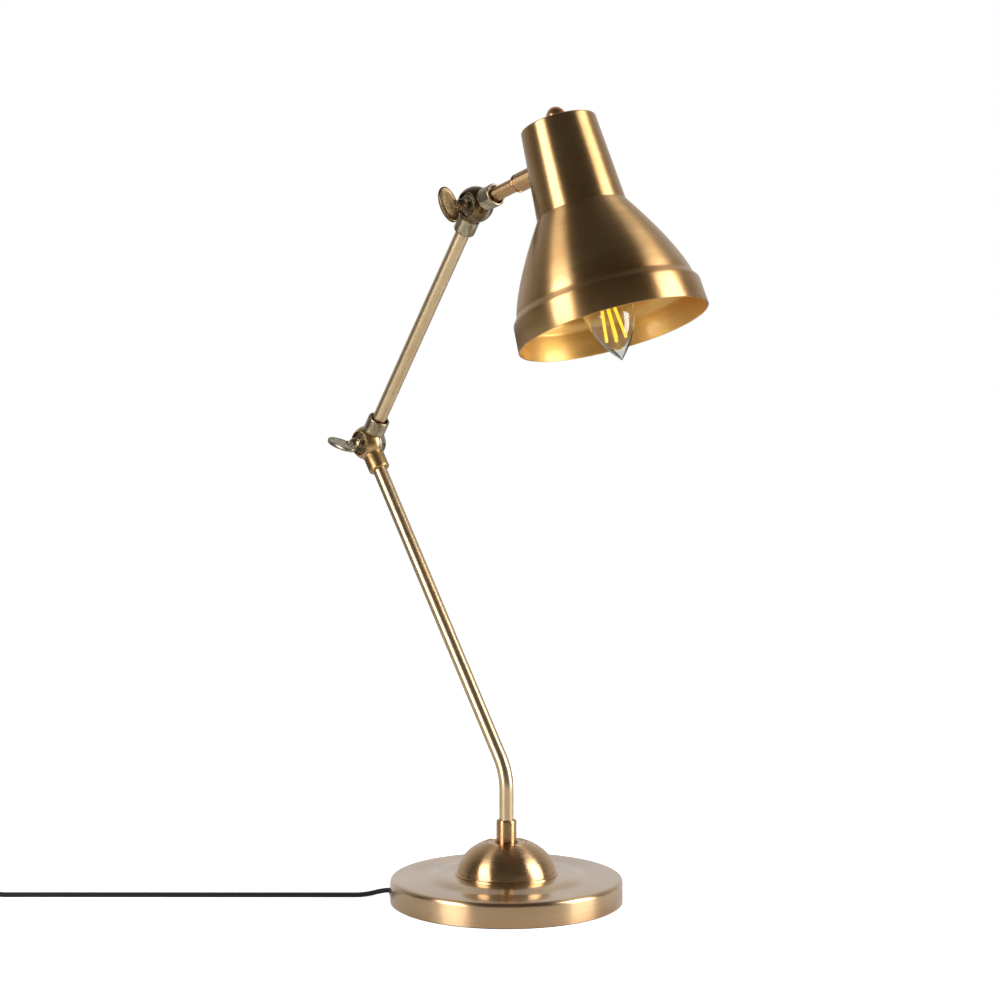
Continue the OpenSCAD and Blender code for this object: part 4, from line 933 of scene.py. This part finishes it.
# ---------------------------------------------------------------- bulb and holder
def candle_outline(inset):
    """Candle glass from its tip to its cap."""
    r, body = BULB_R - inset, BULB_CAP_Z + BULB_OUT
    wide = body * 0.52
    steps = [(i / 24) ** 1.4 for i in range(25)]
    nose = [(r * (1 - (1 - u) ** CANDLE_POINT), inset + (wide - inset) * u - BULB_OUT) for u in steps]
    tail = []
    for i in range(1, 21):
        u = i / 20
        tail.append((r - (r - 6.3 + inset * 0.2) * u * u * (3 - 2 * u), wide + (body - wide) * u - BULB_OUT))
    return nose + tail


def pole(outline):
    return [(0.0, outline[0][1])] + outline[1:]


outer, inner = pole(candle_outline(0)), pole(candle_outline(0.8))
glass = turned("candle_glass", outer + inner[::-1], IN_SHADE, sides=96, crease=60)
finished(glass, "head", "bulb_glass", GLASS, "bulb_glass")
glass.visible_shadow = False

cap_outline = [(5.8, BULB_CAP_Z), (6.9, BULB_CAP_Z), (6.9, BULB_CAP_Z + 3)]
for i in range(36):
    cap_outline.append((6.65 + 0.25 * math.cos(2 * math.pi * i / 6), BULB_CAP_Z + 3 + 2.6 * i / 6))
cap_outline += [(5.9, CONTACT_Z - 3.5), (4, CONTACT_Z - 2.4), (3, CONTACT_Z - 2.4), (3, CONTACT_Z - 3.4)]
cap_outline += [(5.0, CONTACT_Z - 4.6), (5.8, BULB_CAP_Z + 1)]
bulb_cap = turned("candle_cap", cap_outline, IN_SHADE, sides=72, crease=50)
finished(bulb_cap, "head", "aged_nickel", PLUG_NICKEL, "bulb_cap")

rod_outline = softened(ring_outline(0, FILAMENT_R, 0, FILAMENT_L), 0.4, closed=False)
rod = turned("filaments", rod_outline, ON_TABLE, sides=16)
rod.data.transform(Matrix.Translation(metres(3.4, 0, FILAMENT_Z + FILAMENT_L)) @ turn_y(180 - FILAMENT_LEAN))
grown(rod, ROUND, Count=4, Start=math.radians(45), Finish=FILAMENT)
rod.data.transform(IN_SHADE @ Matrix.Translation(metres(0, 0, -BULB_OUT)))
shaded(rod.data, 50)
finished(rod, "head", "filament", FILAMENT, "bulb_filaments")

stem_foot, stem_top = BULB_CAP_Z, FILAMENT_Z + FILAMENT_L + 3 - BULB_OUT
stem_outline = [
    (0, stem_top - 2.4), *arc_points((0, stem_top), 2.4, -90, 40, 8)[1:], (1.8, stem_top + 3),
    (1.8, stem_foot - 10), (2.4, stem_foot - 6), (5, stem_foot - 1), (0, stem_foot - 1),
]
stem = turned("candle_stem", stem_outline, IN_SHADE, sides=40)
finished(stem, "head", "bulb_glass", GLASS, "bulb_stem")


# ---------------------------------------------------------------- inline switch and plug
SWITCH_L, SWITCH_W, SWITCH_H, SWITCH_SPLIT, SWITCH_FLAT = 58.4, 26.0, 17.0, 8.5, 9.0
ROCKER_L, ROCKER_W, ROCKER_Z, ROCKER_TILT = 18.0, 10.0, 13.0, 6.0
IN_SWITCH = Matrix.Translation(metres(*SWITCH_AT, 0)) @ Matrix.Rotation(math.radians(SWITCH_TURN), 4, "Z")


def switch_outline(inset):
    """The switch from above: round ends, cut off flat where the cord goes in."""
    r = SWITCH_W / 2 - inset
    flat = math.degrees(math.asin((SWITCH_FLAT / 2) / (SWITCH_W / 2)))
    middle = SWITCH_L / 2 - SWITCH_W / 2 * math.cos(math.radians(flat))
    right = [(middle + x, y) for x, y in arc_points((0, 0), r, flat, 90, 12)]
    points = right + [(-x, y) for x, y in right[::-1]]
    return points + [(-x, -y) for x, y in points]


lower_levels = [(0, 1.2), (0.35, 0.35), (1.2, 0), (SWITCH_SPLIT - 0.3, 0), (SWITCH_SPLIT, 0.3)]
lower = slab("switch_bottom", switch_outline, lower_levels, ON_TABLE)
finished(lower, "base", "black_plastic", BLACK_PLASTIC, "switch_lower")
lower.data.transform(IN_SWITCH)
upper_levels = [
    (SWITCH_SPLIT, 0.3), (SWITCH_SPLIT + 0.3, 0), (SWITCH_H - 3, 0.5),
    (SWITCH_H - 1.2, 1.3), (SWITCH_H - 0.3, 2.6), (SWITCH_H, 4.2),
]
upper = slab("switch_top", switch_outline, upper_levels, ON_TABLE)


def rounded_box(half_x, half_y):
    def outline(inset):
        x, y = half_x - inset, half_y - inset
        return softened([(x, y), (-x, y), (-x, -y), (x, -y)], 1.0, steps=4)

    return outline


ROCKER_ROOM = 0.4
well_outline = rounded_box(ROCKER_L / 2 + ROCKER_ROOM, ROCKER_W / 2 + ROCKER_ROOM)
well = slab("rocker_well", well_outline, [(SWITCH_SPLIT + 1.5, 0), (30, 0)], ON_TABLE)
cut_from(upper, well)
upper.data.transform(IN_SWITCH)
shaded(upper.data, 35)
finished(upper, "base", "black_plastic", BLACK_PLASTIC, "switch_upper")


def rocker_side(inset):
    half, top = ROCKER_L / 2 - inset, SWITCH_H - ROCKER_Z - inset
    belly = [(-half + 1.4, 0), (-4, -2.4), (4, -2.4), (half - 1.4, 0)]
    face = [(half - 0.6, top + 1.2), (0, top + 0.2), (-half + 0.6, top + 1.2)]
    return softened(belly + face, 0.7, steps=3)


half_w = ROCKER_W / 2
rocker = slab("rocker", rocker_side, both_ways([(-half_w, 0.6), (-half_w + 0.2, 0.2), (-half_w + 0.6, 0)]), ON_TABLE)
rocker.data.transform(IN_SWITCH @ Matrix.Translation(metres(0, 0, ROCKER_Z)) @ turn_y(ROCKER_TILT) @ TO_FRONT)
finished(rocker, "rocker", "black_plastic", BLACK_PLASTIC, "switch_rocker")

PLUG_W, PLUG_T, PLUG_L, RELIEF_L, PIN_GAP, PIN_L = 35.3, 13.7, 36.0, 22.0, 19.0, 19.0
ALONG_PLUG = Matrix.Translation(metres(*PLUG_AT)) @ TO_BACK


def plug_outline(inset):
    w, l = PLUG_W / 2 - inset, RELIEF_L + PLUG_L - inset
    start = RELIEF_L + inset
    neck = 7 - inset
    return softened([(-neck, start), (neck, start), (w, start + 12), (w, l), (-w, l), (-w, start + 12)], 3.0, steps=5)


half_t = PLUG_T / 2
plug_levels = both_ways([(-half_t, 2.4), (-half_t + 0.5, 1.1), (-half_t + 1.4, 0.3), (-half_t + 2.6, 0)])
plug = slab("plug_shell", plug_outline, plug_levels, Matrix.Translation(metres(*PLUG_AT)))
core_outline = [(0, 0), (2.9, 0), (3.3, 1), (5.4, RELIEF_L + 1), (0, RELIEF_L + 1)]
relief_core = turned("relief_core", core_outline, ALONG_PLUG, sides=40)
ribs = turned("relief_ribs", softened(ring_outline(2.4, 3.5, 0, 1.6), 0.35), ON_TABLE, sides=40)
grown(ribs, RIBS, Count=7, Pitch=0.003, Growth=0.085, Finish=BLACK_PLASTIC)
ribs.data.transform(ALONG_PLUG @ Matrix.Translation(metres(0, 0, 0.8)))
plug_whole = joined("plug_moulding", plug, relief_core, ribs)
shaded(plug_whole.data, 40)
finished(plug_whole, "base", "black_plastic", BLACK_PLASTIC, "plug_body")

pin_outline = [(0, 0), (2, 0), (2, PIN_L - 1.4), *arc_points((0.9, PIN_L - 1.1), 1.1, 0, 90, 6), (0, PIN_L)]
pins = turned("contact_pins", pin_outline, Matrix.Translation(metres(PIN_GAP / 2, 0, 0)), sides=40)
grown(pins, ROUND, Count=2, Start=0.0, Finish=PLUG_NICKEL)
pins.data.transform(ALONG_PLUG @ Matrix.Translation(metres(0, 0, RELIEF_L + PLUG_L)))
shaded(pins.data, 40)
finished(pins, "base", "plug_nickel", PLUG_NICKEL, "plug_pins")


# ---------------------------------------------------------------- CAD pieces that stay
for part in frame["record"]["subparts"]:
    obj = frame["nodes"][part["node"]]
    if not obj.hide_render:
        obj.data.materials.clear()
        obj.data.materials.append(SLOT_FINISH[part["material_slot"]])


# ---------------------------------------------------------------- floor, light
def new_floor():
    """A white table whose colour is a painted pool of light: white round the lamp, fading to dark further away, which
    shows in reflections.
    """
    mesh = bpy.data.meshes.new("floor")
    mesh.from_pydata([(-4, -4, 0), (4, -4, 0), (4, 4, 0), (-4, 4, 0)], [], [(0, 1, 2, 3)])
    floor = new_piece("floor", mesh)
    finish, tree = new_finish("white table, painted pool of light")
    seen = add(tree, "ShaderNodeLightPath").outputs["Is Camera Ray"]
    spot = add(tree, "ShaderNodeTexCoord").outputs["Object"]
    away = add(tree, "ShaderNodeVectorMath", {0: spot}, operation="LENGTH")
    # Painted pool of light: the table's colour fades from white near the lamp to dark further away.
    painted_light_pool = ramp(tree, away.outputs["Value"], 0.85, 0.12, 0.5, 1.8)
    table = add(tree, "ShaderNodeBsdfDiffuse", {"Color": painted_light_pool})
    strength = ramp(tree, away.outputs["Value"], 0.84, 1.0, 0.2, 1.0)
    glow = add(tree, "ShaderNodeEmission", {"Color": (1, 1, 1, 1), "Strength": strength})
    bright = add(tree, "ShaderNodeAddShader", {0: table.outputs[0], 1: glow.outputs[0]})
    both = add(tree, "ShaderNodeMixShader", {0: seen, 1: table.outputs[0], 2: bright.outputs[0]})
    add(tree, "ShaderNodeOutputMaterial", {"Surface": both.outputs[0]})
    mesh.materials.append(finish)
    return floor


def towards(angle, up=0.0):
    """Unit vector at this angle from the camera's side of the lamp, to its right."""
    a = math.radians(CAMERA_AZIMUTH + angle)
    level = Vector((math.sin(a), -math.cos(a), 0))
    u = math.radians(up)
    return level * math.cos(u) + Vector((0, 0, math.sin(u)))


def softbox(name, angle, up, away, width, height, watts, roll=0.0):
    """A square-edged softbox that faces the lamp, rolled to lean."""
    aim = Vector((0.0, 0.0, 0.3))
    light = bpy.data.lights.new(name, "AREA")
    light.shape, light.size, light.size_y = "RECTANGLE", width, height
    light.energy = watts
    obj = bpy.data.objects.new(name, light)
    obj.location = aim + towards(angle, up) * away
    turn = (aim - obj.location).to_track_quat("-Z", "Y") @ Quaternion((0, 0, 1), math.radians(roll))
    obj.rotation_euler = turn.to_euler()
    obj.visible_camera = False
    bpy.context.scene.collection.objects.link(obj)
    return obj


new_floor()
softbox("left softbox", -57, 12, 1.7, 0.75, 2.0, 31, roll=24)
softbox("right softbox", 79, 12, 1.7, 0.9, 1.9, 38)

world = bpy.data.worlds.new("white studio")
world.use_nodes = True
sky = world.node_tree
sky.nodes.clear()
way = add(sky, "ShaderNodeTexCoord").outputs["Generated"]
facing = add(sky, "ShaderNodeVectorMath", {0: way, 1: tuple(-towards(0))}, operation="DOT_PRODUCT").outputs["Value"]
room_light = ramp(sky, facing, 0.06, 0.65, 0.15, 0.9)
around_room = add(sky, "ShaderNodeBackground", {"Color": (1, 1, 1, 1), "Strength": room_light})
backdrop = add(sky, "ShaderNodeBackground", {"Color": (1, 1, 1, 1), "Strength": 1.0})
seen = add(sky, "ShaderNodeLightPath").outputs["Is Camera Ray"]
both = add(sky, "ShaderNodeMixShader", {0: seen, 1: around_room.outputs[0], 2: backdrop.outputs[0]})
add(sky, "ShaderNodeOutputWorld", {"Surface": both.outputs[0]})
bpy.context.scene.world = world

glow = bpy.data.lights.new("bulb glow", "POINT")
glow.energy, glow.color, glow.shadow_soft_size = 0.08, rgb("#ffd488")[:3], 0.012
glow_at = bpy.data.objects.new("bulb_glow", glow)
glow_at.location = IN_SHADE @ metres(0, 0, 8)
bpy.context.scene.collection.objects.link(glow_at)
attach(glow_at, "head")
glow_at.visible_camera = glow_at.visible_glossy = glow_at.visible_transmission = False

bpy.context.scene.view_settings.view_transform = "Standard"
